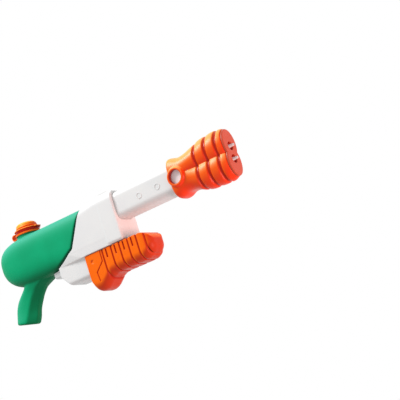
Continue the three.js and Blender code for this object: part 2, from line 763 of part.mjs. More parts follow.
function barrel() {
  const flangeEnd = BARREL_REAR + BARREL_FLANGE_LENGTH;
  return cut(
    join(barrelBar(0, BARREL_REAR, BARREL_FRONT), barrelBar(BARREL_FLANGE, BARREL_REAR, flangeEnd)),
    barrelBar(-WALL, BARREL_REAR - 1, BARREL_FRONT + 1),
    ...nozzleScrews.map(([x, z]) => rodY(SHANK_RADIUS + FIT, 0, BODY_WIDTH, x, z, 10)),
  );
}

const plugRear = BARREL_FRONT - PLUG_LENGTH;
const nozzleScrews = [16, -16].map((lift) => [BARREL_FRONT - PLUG_LENGTH / 2, BARREL_Z + lift]);
const nozzleSeat = BARREL_WIDTH / 2 + FIT + 1.6;
const hoseInner = BARB_RADIUS + 2 * FIT; // clears the barb although both are faceted
const hoseOuter = hoseInner + HOSE_WALL;

function barrelPlug() {
  return cut(
    join(barrelBar(-WALL - FIT, plugRear, BARREL_FRONT), barrelBar(0, BARREL_FRONT + FIT, BARREL_FRONT + 2)
      .add(barrelBar(-WALL - FIT, BARREL_FRONT - 1, BARREL_FRONT + 1))),
    rodX(hoseOuter + FIT, plugRear - 1, BARREL_FRONT + 5, 0, NOZZLE_MID),
    ...nozzleScrews.map(([x, z]) => rodY(SHANK_RADIUS + FIT, 4, BODY_WIDTH, x, z, 10)),
  );
}

// Rows of x, top, bottom, half width and how far the section has turned into two lobes.
const nozzleRows = sampler([
  [NOZZLE_REAR, 79.6, 0.6, 30.4, 0],
  [NOZZLE_REAR + 4, 80.4, -1, 31, 0],
  [NOZZLE_REAR + 11, 79, -0.8, 31.2, 0],
  [NOZZLE_REAR + 24, 75.6, 4.2, 31, 0.05],
  [NOZZLE_REAR + 40, 78.6, 3.2, 30, 0.55],
  [NOZZLE_REAR + 56, 84.6, -3.4, 28.8, 0.95],
  [NOZZLE_REAR + 70, 88.6, -6.2, 28, 1],
  [NOZZLE_REAR + 94, 91.8, -8, 26.6, 1],
  [NOZZLE_REAR + 116, 92.2, -8.4, 25.2, 1],
  [NOZZLE_FRONT, 89.6, -5.8, 23.4, 1],
]);

function nozzleRing(x, sink, count = 24) {
  const [top, low, half, lobed] = nozzleRows(x);
  return ringAt(x, lobedSection(half - sink, low + sink, top - sink, lobed, count));
}

function nozzleSkin() {
  const rear = between(NOZZLE_REAR, GROOVES[0] - GROOVE_WIDTH, 7).map((x) => nozzleRing(x, 0));
  const bands = GROOVES.flatMap((x, i) => {
    const end = i + 1 < GROOVES.length ? GROOVES[i + 1] - GROOVE_WIDTH : NOZZLE_FRONT;
    const start = x + GROOVE_WIDTH;
    return [
      nozzleRing(x - GROOVE_WIDTH / 2, GROOVE_DEPTH),
      nozzleRing(x + GROOVE_WIDTH / 2, GROOVE_DEPTH),
      nozzleRing(start, 0),
      nozzleRing((start + end) / 2, -0.7),
      nozzleRing(end, i + 1 < GROOVES.length ? 0 : 0.6),
    ];
  });
  return loft([...rear, ...bands]);
}

function nozzleShroud() {
  const inner = [NOZZLE_REAR + 2 * WALL, NOZZLE_REAR + 24, NOZZLE_REAR + 44, GROOVES[0], GROOVES[2], NOZZLE_FRONT + 1];
  const hollow = loft(
    inner.map((x) => nozzleRing(Math.min(x, NOZZLE_FRONT), WALL + GROOVE_DEPTH, 20).map((p) => p.setX(x))),
  );
  const rim = mirrored((side) => {
    const span = [side * (BARREL_WIDTH / 2 + 2 * FIT), side * WINDOW_FACE].sort((a, b) => a - b);
    return rodY(WINDOW_RADIUS + WINDOW_RIM, ...span, WINDOW_X, WINDOW_Z, 24);
  });
  const bosses = nozzleScrews.map(([x, z]) => rodY(BOSS_RADIUS, BARREL_WIDTH / 2 + FIT, BARREL_WIDTH / 2 + 4, x, z));
  return cut(
    join(cut(nozzleSkin(), hollow), rim, ...bosses),
    barrelBar(FIT, NOZZLE_REAR - 10, BARREL_FRONT + 3),
    rodY(WINDOW_RADIUS, -BODY_WIDTH, BODY_WIDTH, WINDOW_X, WINDOW_Z, 24),
    ...nozzleScrews.map((spot) => screwHole(spot, nozzleSeat, NOZZLE_SCREW_LENGTH)),
  );
}

const jetHeights = { upper: NOZZLE_MID + JET_SPACING / 2, lower: NOZZLE_MID - JET_SPACING / 2 };

function nozzleFace() {
  const [top, low, half] = nozzleRows(NOZZLE_FRONT);
  const ring = (x, sink, count) => ringAt(x, lobedSection(half - sink, low + sink, top - sink, 1, count));
  const lid = loft([ring(NOZZLE_FRONT + FIT, 0.7), ring(FACE_PLANE - 1.4, 0.9), ring(FACE_PLANE, 2.2)]);
  const inset = WALL + GROOVE_DEPTH + 2 * FIT;
  const spigot = loft([ring(NOZZLE_FRONT - SPIGOT, inset, 20), ring(NOZZLE_FRONT + 1, inset, 20)]);
  const openings = Object.values(jetHeights).flatMap((z) => [
    rodX(JET_RADIUS + FIT, NOZZLE_FRONT - 10, FACE_PLANE + 5, 0, z, 16),
    rodX(JET_RECESS, FACE_PLANE - JET_RECESS_DEPTH, FACE_PLANE + 5, 0, z, 16),
  ]);
  return cut(join(lid, spigot), ...openings);
}

const manifoldFront = NOZZLE_FRONT - SPIGOT - FIT;
const manifoldRear = manifoldFront - 34;
const manifoldBarb = manifoldRear - 20;
const jetRoot = manifoldFront - 12;

function jetTip(z) {
  return cut(
    join(
      rodX(JET_RADIUS, jetRoot, JET_TIP - 2, 0, z, 16),
      rodX(JET_RADIUS - 1, JET_TIP - 3, JET_TIP, 0, z, 16),
    ),
    rodX(JET_BORE, jetRoot - 1, JET_TIP + 1, 0, z, 10),
  );
}

// Splits the hose into the two jets.
function jetManifold() {
  const reach = JET_SPACING / 2 + JET_RADIUS + 4;
  const chest = outline(
    [
      [manifoldRear, NOZZLE_MID - 9],
      [manifoldRear + 14, NOZZLE_MID - reach],
      [manifoldFront, NOZZLE_MID - reach],
      [manifoldFront, NOZZLE_MID + reach],
      [manifoldRear + 14, NOZZLE_MID + reach],
      [manifoldRear, NOZZLE_MID + 9],
    ],
    JET_RADIUS + 3,
  );
  const cross = manifoldRear + 14;
  const low = jetHeights.lower;
  const high = jetHeights.upper;
  return cut(
    join(chest, rodX(BARB_RADIUS, manifoldBarb, manifoldRear + 2, 0, NOZZLE_MID, 16)),
    rodX(PASSAGE, manifoldBarb - 1, cross, 0, NOZZLE_MID, 8),
    rodZ(PASSAGE, low - PASSAGE, high + PASSAGE, cross, 0, 8),
    ...[low, high].flatMap((z) => [
      rodX(PASSAGE, cross, manifoldFront + 1, 0, z, 8),
      rodX(JET_RADIUS + FIT, jetRoot - FIT, manifoldFront + 1, 0, z, 16),
    ]),
  );
}

const barbFront = OUTLET_X + 21;

function outletHose() {
  const end = manifoldBarb + 14;
  return hose(
    [
      [OUTLET_X + 7.5, OUTLET_Z],
      [barbFront + 1, OUTLET_Z],
      [barbFront + 7, OUTLET_Z],
      [barbFront + 24, OUTLET_Z + 8],
      [barbFront + 42, OUTLET_Z + 29],
      [barbFront + 62, NOZZLE_MID - 10],
      [barbFront + 84, NOZZLE_MID],
      [barbFront + 94, NOZZLE_MID],
      [BARREL_FRONT / 2, NOZZLE_MID],
      [BARREL_FRONT, NOZZLE_MID],
      [end, NOZZLE_MID],
    ],
    hoseOuter,
    hoseInner,
    18,
  );
}

// Pump

// How far the rear lobe hangs down: distance from the rear, share of the lobe's depth.
const lobeShare = sampler([
  [0, 0.45],
  [3, 0.74],
  [8, 0.94],
  [15, 1],
  [22, 0.97],
  [29, 0.84],
  [36, 0.6],
  [44, 0.3],
  [53, 0.08],
  [66, 0],
  [90, 0],
]);

// Bottom, top and half width of the pump grip at x. The nose closes on three superellipses.
function pumpSizes(x) {
  const u = Math.max(0, 1 - (PUMP_NOSE - x) / PUMP_NOSE_LENGTH);
  const close = (power) => (1 - u ** power) ** (1 / power);
  const [share] = lobeShare(Math.min(x - PUMP_REAR, 90));
  const low = PUMP_LOW - PUMP_LOBE * share;
  return [
    PUMP_NOSE_Z - (PUMP_NOSE_Z - low) * close(2.2),
    PUMP_NOSE_Z + (PUMP_TOP - PUMP_NOSE_Z) * close(2.6),
    (PUMP_WIDTH / 2) * close(3.2),
  ];
}

function pumpSkin(wall, lift) {
  const noseStart = PUMP_NOSE - PUMP_NOSE_LENGTH;
  const lobe = [0, 3, 8, 15, 22, 29, 36, 44, 53, 66].map((back) => PUMP_REAR + back);
  const nose = [0, 0.34, 0.56, 0.72, 0.84, 0.92, 0.97].map((u) => noseStart + u * PUMP_NOSE_LENGTH);
  const rings = [...lobe, ...nose].map((x) => {
    const [low, top, half] = pumpSizes(x);
    const corner = Math.min(PUMP_CORNER, half - 0.5, (top - low) / 2 - 0.5);
    const edge = Math.min(PUMP_EDGE, corner);
    const section = roundedSection(
      half - wall,
      low + wall,
      top - lift,
      Math.max(1, corner - wall),
      Math.max(0.8, edge - wall / 2),
    );
    return ringAt(x, section);
  });
  return loft(rings);
}

// Shallow grooves, slots and the folded line on the sides of the pump grip.
function pumpMarks() {
  const half = PUMP_WIDTH / 2;
  return mirrored((side) => {
    const span = [side * (half - PUMP_GROOVE_DEPTH), side * (half + 3)].sort((a, b) => a - b);
    const bars = PUMP_GROOVES.map((x) =>
      box(x - PUMP_GROOVE_WIDTH / 2, x + PUMP_GROOVE_WIDTH / 2, ...span, PUMP_LOW + 3, PUMP_TOP + 2),
    );
    const slots = PUMP_GROOVES.slice(0, -1).map((x) => box(x + 6.4, x + 9, ...span, PUMP_TOP - 19, PUMP_TOP - 8));
    const fold = [
      [PUMP_GROOVES[0] - 4.7, PUMP_TOP + 2],
      [PUMP_GROOVES[0] - 4.7, PUMP_TOP - 22],
      [PUMP_GROOVES[0] - 24, PUMP_TOP - 39],
      [PUMP_GROOVES[0] - 22, PUMP_TOP - 58],
    ];
    const strip = [
      ...fold.map(([x, z]) => [x - 1, z]),
      ...fold.map(([x, z]) => [x + 1, z]).reverse(),
    ];
    const line = outline(strip, PUMP_WIDTH).intersect(box(-FAR, FAR, ...span, -FAR, FAR));
    const dimple = rodY(4, ...span, PUMP_REAR + 15, PUMP_TOP - 16);
    return join(line, dimple, ...bars, ...slots);
  });
}

const lobeScrew = [PUMP_REAR + 20, PUMP_LOW - 3];
const hollowScrew = [PUMP_GROOVES[2] - 9, (RAIL_LOW + PUMP_LOW) / 2 + 0.4];
const noseScrew = [BULKHEAD_X, CYLINDER_Z - ROD_RADIUS - 17];
const pumpScrews = { lobe: lobeScrew, hollow: hollowScrew, nose: noseScrew };

function pumpGrip() {
  const innerHalf = PUMP_WIDTH / 2 - PUMP_WALL;
  const skin = pumpSkin(0, 0);
  const rearWall = PUMP_REAR + PUMP_WALL;
  const hollow = pumpSkin(PUMP_WALL, LIP).intersect(box(rearWall, PUMP_NOSE - PUMP_WALL, -100, 100, -200, 0));
  const bulkhead = slab(BULKHEAD_X - BULKHEAD / 2, BULKHEAD_X + BULKHEAD / 2, PUMP_WIDTH, -200, 0);
  const bosses = [lobeScrew, hollowScrew].map(([x, z]) => rodY(4.2, -PUMP_WIDTH, PUMP_WIDTH, x, z));
  const inside = join(bulkhead, ...bosses).intersect(skin);
  const lipInner = RAIL_WIDTH / 2 - LIP;
  const over = PUMP_TOP - LIP - 1;
  return cut(
    join(cut(skin, hollow), inside),
    slab(PUMP_REAR - 10, LIP_REAR, innerHalf, over, 0),
    slab(LIP_REAR - 1, LIP_FRONT, lipInner, over, 0),
    slab(PUMP_REAR - 10, rearWall + 10, innerHalf, RAIL_LOW - SLIDE, 0),
    pumpMarks(),
    rodX(ROD_RADIUS + FIT, BULKHEAD_X - BULKHEAD, BULKHEAD_X + BULKHEAD / 2 + 1, 0, CYLINDER_Z),
    rodZ(PIN_RADIUS + FIT, CYLINDER_Z - PIN_LENGTH / 2 - FIT, CYLINDER_Z + PIN_LENGTH / 2 + FIT, BULKHEAD_X, 0, 8),
    ...Object.values(pumpScrews).map((spot) => screwHole(spot, pumpSeat)),
  );
}

const rodRear = PISTON_FRONT - PISTON_LENGTH + 4;

function pumpRod() {
  return cut(
    rodX(ROD_RADIUS, rodRear, BULKHEAD_X + BULKHEAD / 2, 0, CYLINDER_Z),
    rodZ(PIN_RADIUS + FIT, CYLINDER_Z - 2 * ROD_RADIUS, CYLINDER_Z + 2 * ROD_RADIUS, BULKHEAD_X, 0, 8),
    rodX(SHANK_RADIUS + FIT, rodRear - 1, rodRear + 14, 0, CYLINDER_Z, 8),
  );
}

const rodPin = () =>
  rodZ(PIN_RADIUS, CYLINDER_Z - PIN_LENGTH / 2, CYLINDER_Z + PIN_LENGTH / 2, BULKHEAD_X, 0, 8);

function piston() {
  const rear = PISTON_FRONT - PISTON_LENGTH;
  const middle = (rear + PISTON_FRONT) / 2;
  const radius = CYLINDER_BORE - 0.4;
  const seat = radius - 2 * RING_RADIUS;
  const groove = cut(
    rodX(radius + 1, middle - RING_RADIUS - FIT, middle + RING_RADIUS + FIT, 0, CYLINDER_Z, 20),
    rodX(seat, middle - 5, middle + 5, 0, CYLINDER_Z, 20),
  );
  return cut(
    rodX(radius, rear, PISTON_FRONT, 0, CYLINDER_Z, 20),
    groove,
    rodX(ROD_RADIUS + FIT, rodRear - FIT, PISTON_FRONT + 1, 0, CYLINDER_Z),
    rodX(SHANK_RADIUS + FIT, rear - 1, rodRear, 0, CYLINDER_Z, 8),
    rodX(HEAD_RADIUS + FIT, rear - 1, rear + HEAD_HEIGHT - 0.6, 0, CYLINDER_Z, 16),
  );
}

function pistonRing() {
  const middle = PISTON_FRONT - PISTON_LENGTH / 2;
  const around = CYLINDER_BORE - 0.15 - RING_RADIUS;
  const geometry = new THREE.TorusGeometry(around, RING_RADIUS, 5, 18);
  return solid(geometry.rotateY(Math.PI / 2).translate(middle, 0, CYLINDER_Z));
}

// Holds the piston on the rod from behind.
function pistonScrew() {
  const rear = PISTON_FRONT - PISTON_LENGTH;
  const seat = rear + HEAD_HEIGHT - 0.6 - FIT;
  return join(
    rodX(HEAD_RADIUS, seat - HEAD_HEIGHT, seat, 0, CYLINDER_Z, 14),
    rodX(SHANK_RADIUS, seat - 0.5, rodRear + 12, 0, CYLINDER_Z, 8),
  );
}

function pumpCylinder() {
  return cut(
    rodX(CYLINDER_BORE + CYLINDER_WALL, CYLINDER_REAR, CYLINDER_FRONT, 0, CYLINDER_Z, 24),
    rodX(CYLINDER_BORE, CYLINDER_REAR - 1, CYLINDER_FRONT + 1, 0, CYLINDER_Z, 24),
  );
}

// End cap of the cylinder that guides the rod, held between a saddle and the front wall of the rail.
function cylinderGland() {
  const front = RAIL_FRONT - WALL - FIT;
  const rear = CYLINDER_FRONT + FIT;
  return cut(
    join(
      rodX(GLAND_RADIUS, rear, front, 0, CYLINDER_Z, 20),
      rodX(CYLINDER_BORE - FIT, rear - 4, rear + 1, 0, CYLINDER_Z, 20),
    ),
    rodX(ROD_RADIUS + FIT, rear - 10, front + 1, 0, CYLINDER_Z),
    rodX(ROD_RADIUS + 3, rear + 4, rear + 7, 0, CYLINDER_Z),
  );
}

function rodSeal() {
  const x = CYLINDER_FRONT + FIT + 5.5;
  const geometry = new THREE.TorusGeometry(ROD_RADIUS + 1.5, 1.1, 5, 14);
  return solid(geometry.rotateY(Math.PI / 2).translate(x, 0, CYLINDER_Z));
}

// Valves

const seatDrop = Math.sqrt(BALL_RADIUS ** 2 - PASSAGE ** 2);
const chamberRadius = BALL_RADIUS + 1.4;
const inletSeat = CYLINDER_Z - 3;
const outletSeat = CYLINDER_Z + 5;
const feedZ = inletSeat - 3.6;

function valveBlock() {
  const half = VALVE_WIDTH / 2;
  const headRear = CYLINDER_REAR - FIT - 4;
  const inletTop = inletSeat + seatDrop + BALL_RADIUS + BALL_LIFT + 0.5;
  const outletTop = outletSeat + seatDrop + BALL_RADIUS + BALL_LIFT + 0.5;
  const low = feedZ - PASSAGE - 1.4;
  const barbTop = seamFloor(FEED_X) - 9;
  const chest = outline(
    [
      [headRear + 1, low],
      [headRear + 1, OUTLET_Z + 4.2],
      [OUTLET_X - chamberRadius - 1.8, OUTLET_Z + 4.2],
      [OUTLET_X - chamberRadius - 1.8, inletTop + 2.4],
      [FEED_X - 4.4, inletTop + 2.4],
      [FEED_X - 4.4, low + 4],
      [FEED_X - 1, low],
    ],
    half,
  );
  return cut(
    join(
      chest,
      rodX(CYLINDER_BORE + CYLINDER_WALL, headRear, CYLINDER_REAR - FIT, 0, CYLINDER_Z, 20),
      rodX(CYLINDER_BORE - FIT, CYLINDER_REAR - 1, CYLINDER_REAR + 3, 0, CYLINDER_Z, 20),
      rodZ(BARB_RADIUS, inletTop, barbTop, FEED_X, 0, 16),
      rodX(BARB_RADIUS, headRear, barbFront, 0, OUTLET_Z, 16),
    ),
    rodX(PASSAGE, INLET_X, CYLINDER_REAR + 5, 0, CYLINDER_Z, 8),
    rodZ(PASSAGE, feedZ, inletSeat + 1, INLET_X, 0, 8),
    rodZ(chamberRadius, inletSeat, inletTop, INLET_X, 0, 16),
    rodX(PASSAGE, FEED_X, INLET_X, 0, feedZ, 8),
    rodZ(PASSAGE, feedZ - PASSAGE, barbTop + 1, FEED_X, 0, 8),
    rodZ(PASSAGE, CYLINDER_Z, outletSeat + 1, OUTLET_X, 0, 8),
    rodZ(chamberRadius, outletSeat, outletTop, OUTLET_X, 0, 16),
    rodZ(PASSAGE, outletTop - 1, OUTLET_Z, OUTLET_X, 0, 8),
    rodX(PASSAGE, OUTLET_X - PASSAGE, barbFront + 1, 0, OUTLET_Z, 8),
  );
}

// Check ball on its seat, with a hair of clearance above the seat's edge.
function checkBall(x, seat) {
  const geometry = new THREE.SphereGeometry(BALL_RADIUS, 10, 6).rotateX(Math.PI / 2);
  return solid(geometry.translate(x, 0, seat + seatDrop + 0.1));
}

function intakeHose() {
  const low = inletSeat + seatDrop + BALL_RADIUS + BALL_LIFT + 0.5 + 2.4 + FIT;
  const high = seamFloor(FEED_X - hoseOuter) - FIT;
  return cut(
    rodZ(hoseOuter, low, high, FEED_X, 0),
    rodZ(hoseInner, low - 1, high + 1, FEED_X, 0),
  );
}

// The assembly

const model = new THREE.Group();

function place(name, shape, material) {
  const mesh = new THREE.Mesh(geometryOf(shape), material);
  mesh.name = name;
  model.add(mesh);
}

const body = housing();
place("body_shell_right", body.intersect(rightHalf()), colours.white);
place("body_shell_left", body.intersect(leftHalf()), colours.white);
place("tank", tank(), colours.green);
place("tank_strainer", strainer(), colours.clear);
place("filler_cap", fillerCap(), colours.orange);
place("cap_gasket", capGasket(), colours.rubber);
place("cap_strap", capStrap(), colours.orange);

place("barrel", barrel(), colours.white);
place("barrel_plug", barrelPlug(), colours.white);
place("nozzle_shroud", nozzleShroud(), colours.orange);
place("nozzle_face", nozzleFace(), colours.orange);
place("jet_manifold", jetManifold(), colours.grey);
place("jet_tip_upper", jetTip(jetHeights.upper), colours.white);
place("jet_tip_lower", jetTip(jetHeights.lower), colours.white);
place("outlet_hose", outletHose(), colours.clear);

place("pump_cylinder", pumpCylinder(), colours.clear);
place("cylinder_gland", cylinderGland(), colours.grey);
place("rod_seal", rodSeal(), colours.rubber);
place("valve_block", valveBlock(), colours.grey);
place("inlet_ball", checkBall(INLET_X, inletSeat), colours.steel);
place("outlet_ball", checkBall(OUTLET_X, outletSeat), colours.steel);
place("intake_hose", intakeHose(), colours.clear);

const grip = pumpGrip();
place("pump_grip_right", grip.intersect(rightHalf()), colours.orange);
place("pump_grip_left", grip.intersect(leftHalf()), colours.orange);
place("pump_rod", pumpRod(), colours.white);
place("rod_pin", rodPin(), colours.steel);
place("piston", piston(), colours.grey);
place("piston_ring", pistonRing(), colours.rubber);
place("piston_screw", pistonScrew(), colours.steel);

for (const [name, spot] of Object.entries(BODY_SCREWS)) {
  place(`body_screw_${name}`, screw(spot, bodySeat), colours.steel);
}
place("body_screw_rear", screw(HEEL_SCREW, heelSeat), colours.steel);
place("body_screw_bridge", screw(BRIDGE_SCREW, railSeat), colours.steel);
for (const [name, spot] of Object.entries(pumpScrews)) {
  place(`pump_screw_${name}`, screw(spot, pumpSeat), colours.steel);
}
["upper", "lower"].forEach((name, i) => {
  place(`nozzle_screw_${name}`, screw(nozzleScrews[i], nozzleSeat, NOZZLE_SCREW_LENGTH), colours.steel);
});

// The origin goes to the middle of the footprint, at the lowest point.
const bounds = new THREE.Box3().setFromObject(model);
const middle = bounds.getCenter(new THREE.Vector3());
model.position.set(-middle.x, -middle.y, -bounds.min.z);
model.updateMatrixWorld(true);

export default model;
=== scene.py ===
# %% [markdown]
# A pump-action water squirter: a green blow-moulded tank with its pistol grip, a white housing in two
# halves, a white barrel that ends in an orange twin-jet nozzle, and an orange handle that slides to pump.
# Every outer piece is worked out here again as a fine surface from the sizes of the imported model, so that
# curves are smooth and moulded edges are round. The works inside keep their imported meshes.

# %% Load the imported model
import json
import math

import bmesh
import bpy
import numpy as np
from mathutils import Matrix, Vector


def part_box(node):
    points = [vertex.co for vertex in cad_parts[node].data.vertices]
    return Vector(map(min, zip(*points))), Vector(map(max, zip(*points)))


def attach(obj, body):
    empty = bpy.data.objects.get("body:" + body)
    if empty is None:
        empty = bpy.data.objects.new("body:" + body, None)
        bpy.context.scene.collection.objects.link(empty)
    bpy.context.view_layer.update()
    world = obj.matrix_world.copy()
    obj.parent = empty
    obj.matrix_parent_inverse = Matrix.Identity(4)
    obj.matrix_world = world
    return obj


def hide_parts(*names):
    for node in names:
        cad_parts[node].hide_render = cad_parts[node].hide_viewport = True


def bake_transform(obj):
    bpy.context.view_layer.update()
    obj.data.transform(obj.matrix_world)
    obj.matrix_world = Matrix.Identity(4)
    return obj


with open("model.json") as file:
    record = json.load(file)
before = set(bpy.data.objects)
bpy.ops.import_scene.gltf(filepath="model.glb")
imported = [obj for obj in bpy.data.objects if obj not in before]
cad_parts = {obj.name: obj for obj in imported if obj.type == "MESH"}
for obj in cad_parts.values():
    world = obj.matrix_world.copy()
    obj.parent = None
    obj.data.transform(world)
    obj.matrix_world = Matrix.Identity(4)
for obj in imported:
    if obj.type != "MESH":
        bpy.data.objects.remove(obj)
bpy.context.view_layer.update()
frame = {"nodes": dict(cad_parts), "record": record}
scene = bpy.context.scene

# %% [markdown]
# The sizes below are millimetres in the drawing's own frame, whose zero lies in the front of the housing.
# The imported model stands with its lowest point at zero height, so one shift leads from one to the other.
# It is measured on the barrel, whose place in the drawing is known, so it stays right if the tank changes.

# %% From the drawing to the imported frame
MM = 0.001
BARREL_REAR = -24.0
BARREL_Z = 39.4
barrel_low, barrel_high = (np.array(corner, float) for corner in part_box("barrel"))
SHIFT = np.array([
    barrel_low[0] - BARREL_REAR * MM,
    0.0,
    (barrel_low[2] + barrel_high[2]) / 2 - BARREL_Z * MM,
])


def to_row(points):
    """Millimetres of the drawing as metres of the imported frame."""
    return np.asarray(points, float) * MM + SHIFT


print("shift in metres", SHIFT.round(5))

# %% [markdown]
# The photograph is taken from the right and a little from the front, from below, with the camera tilted,
# so that the barrel climbs to the right. A long lens far away gives its flat perspective. The camera's
# right, up and back directions are worked out from three angles and become the columns of its matrix.

# %% Camera
AZIMUTH = math.radians(30.0)
ELEVATION = math.radians(-12.1)
ROLL = math.radians(17.8)
DISTANCE = 2600.0
PIXEL = 1.95  # millimetres of the object in one pixel of a 400 pixel frame
ZERO_PIXEL = (123, 227)  # where the drawing's zero shows
MIDDLE_PIXEL = 200
LENS = 120.0
SENSOR = 36.0

back = np.array([
    math.sin(AZIMUTH) * math.cos(ELEVATION),
    -math.cos(AZIMUTH) * math.cos(ELEVATION),
    math.sin(ELEVATION),
])
level_right = np.array([math.cos(AZIMUTH), math.sin(AZIMUTH), 0.0])
level_up = np.cross(level_right, -back)
right = math.cos(ROLL) * level_right - math.sin(ROLL) * level_up
up = math.sin(ROLL) * level_right + math.cos(ROLL) * level_up
aside = (ZERO_PIXEL[0] - MIDDLE_PIXEL) * PIXEL
above = (MIDDLE_PIXEL - ZERO_PIXEL[1]) * PIXEL
eye = to_row(DISTANCE * back - aside * right - above * up)

camera_data = bpy.data.cameras.new("camera")
camera_data.lens = LENS
camera_data.sensor_width = SENSOR
camera = bpy.data.objects.new("camera", camera_data)
pose = np.eye(4)
pose[:3, 0] = right
pose[:3, 1] = up
pose[:3, 2] = back
pose[:3, 3] = eye
camera.matrix_world = Matrix(pose.tolist())
scene.collection.objects.link(camera)
scene.camera = camera
print("camera at", eye.round(3))

# %% [markdown]
# Every surface is a grid of rings. A ring is one closed row of points, neighbouring rings are joined by
# quads, and one face closes each end. That makes a watertight form, which the boolean tools below need.

# %% Grids of rings become meshes
MERGE = 1e-7  # metres within which two points are one


def add_piece(points, faces):
    """A mesh object from points in millimetres, with doubles merged and all faces turned outwards."""
    mesh = bpy.data.meshes.new("form")
    mesh.from_pydata(to_row(points).tolist(), [], faces)
    work = bmesh.new()
    work.from_mesh(mesh)
    bmesh.ops.remove_doubles(work, verts=work.verts, dist=MERGE)
    bmesh.ops.recalc_face_normals(work, faces=work.faces)
    work.to_mesh(mesh)
    work.free()
    piece = bpy.data.objects.new("form", mesh)
    scene.collection.objects.link(piece)
    return piece


def grid_faces(rows, columns, ring):
    """Quads between neighbouring rows of a grid whose columns close on themselves.
    `ring` closes the rows too."""
    index = np.arange(rows * columns).reshape(rows, columns)
    follow = np.roll(index, -1, axis=0) if ring else index[1:]
    start = index if ring else index[:-1]
    beside = np.roll(start, -1, axis=1)
    across = np.roll(follow, -1, axis=1)
    return np.stack([start, beside, across, follow], axis=-1).reshape(-1, 4).tolist()


def skin(rings):
    """A closed form from rings of shape (rows, columns, 3), with one face on each end."""
    rows, columns, _ = rings.shape
    last = (rows - 1) * columns
    ends = [list(range(columns))[::-1], list(range(last, last + columns))]
    return add_piece(rings.reshape(-1, 3), grid_faces(rows, columns, False) + ends)


def column(values, count):
    """One number, or one number for each ring, as a column of `count` rows."""
    return np.broadcast_to(np.asarray(values, float).reshape(-1, 1), (count, 1))


def rounded_rings(x, half, low, high, low_corner, high_corner, steps=10):
    """Rounded rectangles along X. Each corner is a quarter circle about a point that lies one radius in
    from both sides."""
    x = np.asarray(x, float)
    half, low, high, low_corner, high_corner = (
        column(v, len(x)) for v in (half, low, high, low_corner, high_corner)
    )
    turn = np.radians(np.linspace(0, 90, steps))
    corners = (
        (half - low_corner, low + low_corner, low_corner, -90),
        (half - high_corner, high - high_corner, high_corner, 0),
        (high_corner - half, high - high_corner, high_corner, 90),
        (low_corner - half, low + low_corner, low_corner, 180),
    )
    y = np.hstack([cy + radius * np.cos(turn + math.radians(start)) for cy, cz, radius, start in corners])
    z = np.hstack([cz + radius * np.sin(turn + math.radians(start)) for cy, cz, radius, start in corners])
    return np.stack([np.broadcast_to(x[:, None], y.shape), y, z], axis=-1)


def prism(outline, y0, y1):
    """A side outline of [x, z] points carried straight across from y0 to y1."""
    outline = np.asarray(outline, float)
    rings = [np.column_stack([outline[:, 0], np.full(len(outline), y), outline[:, 1]]) for y in (y0, y1)]
    return skin(np.array(rings))


def block(x0, x1, y0, y1, z0, z1):
    """A plain rectangular tool for joining and cutting."""
    return prism([(x0, z0), (x1, z0), (x1, z1), (x0, z1)], y0, y1)


AXES = {"x": np.eye(3)[[0, 1, 2]], "y": np.eye(3)[[1, 2, 0]], "z": np.eye(3)[[2, 0, 1]]}


def turned(profile, axis, centre, sides=64, ring=False):
    """A profile of [distance along the axis, radius] turned round an axis through `centre`.
    A point is centre + distance * axis + radius * (cos angle, sin angle) across it."""
    profile = np.asarray(profile, float)
    along, first, second = AXES[axis]
    angle = np.linspace(0, 2 * math.pi, sides, endpoint=False)
    circle = np.cos(angle)[:, None] * first + np.sin(angle)[:, None] * second
    points = profile[:, :1, None] * along + profile[:, 1:, None] * circle + np.asarray(centre, float)
    return add_piece(points.reshape(-1, 3), grid_faces(len(profile), sides, ring))


def rod(axis, radius, start, end, centre, sides=48):
    """A round bar along an axis; `centre` holds the other two coordinates."""
    return turned([(start, 0), (start, radius), (end, radius), (end, 0)], axis, centre, sides)


def through(rows, x):
    """Values on a smooth curve through rows of [position, value, ...]. Between two rows it is the cubic
    that meets both values, with the slope that the neighbouring rows give."""
    rows = np.asarray(rows, float)
    knots, values = rows[:, 0], rows[:, 1:]
    slopes = np.gradient(values, knots, axis=0)
    x = np.clip(np.asarray(x, float), knots[0], knots[-1])
    i = np.clip(np.searchsorted(knots, x) - 1, 0, len(knots) - 2)
    span = (knots[i + 1] - knots[i])[:, None]
    t = (x - knots[i])[:, None] / span
    ends = (1 + 2 * t) * (1 - t) ** 2 * values[i] + t ** 2 * (3 - 2 * t) * values[i + 1]
    return ends + span * (t * (1 - t) ** 2 * slopes[i] - t ** 2 * (1 - t) * slopes[i + 1])


def closing(u, power):
    """A superellipse: 1 where u is 0, falling to 0 where u is 1, and blunter the higher the power."""
    return (1 - u ** power) ** (1 / power)


# %% [markdown]
# A moulding is easiest to think of as solids that are joined and cut. Blender's Boolean modifier with the
# Manifold solver does that in a moment. A voxel remesh and a little smoothing then melt the sharp meeting
# lines into the small fillets that every moulded piece has, which plain booleans can't give.

# %% Joining, cutting and softening


def settle(piece):
    """Keep what the modifiers show as the piece's own mesh."""
    graph = bpy.context.evaluated_depsgraph_get()
    mesh = bpy.data.meshes.new_from_object(piece.evaluated_get(graph), depsgraph=graph)
    piece.modifiers.clear()
    old = piece.data
    piece.data = mesh
    bpy.data.meshes.remove(old)
    return piece


def combine(piece, tools, operation):
    """Apply every tool to the piece in turn, and throw the tools away."""
    for tool in tools:
        step = piece.modifiers.new(operation.lower(), "BOOLEAN")
        step.operation = operation
        step.solver = "MANIFOLD"
        step.object = tool
    settle(piece)
    for tool in tools:
        mesh = tool.data
        bpy.data.objects.remove(tool)
        bpy.data.meshes.remove(mesh)
    return piece


def join(piece, *tools):
    return combine(piece, tools, "UNION")


def cut(piece, *tools):
    return combine(piece, tools, "DIFFERENCE")


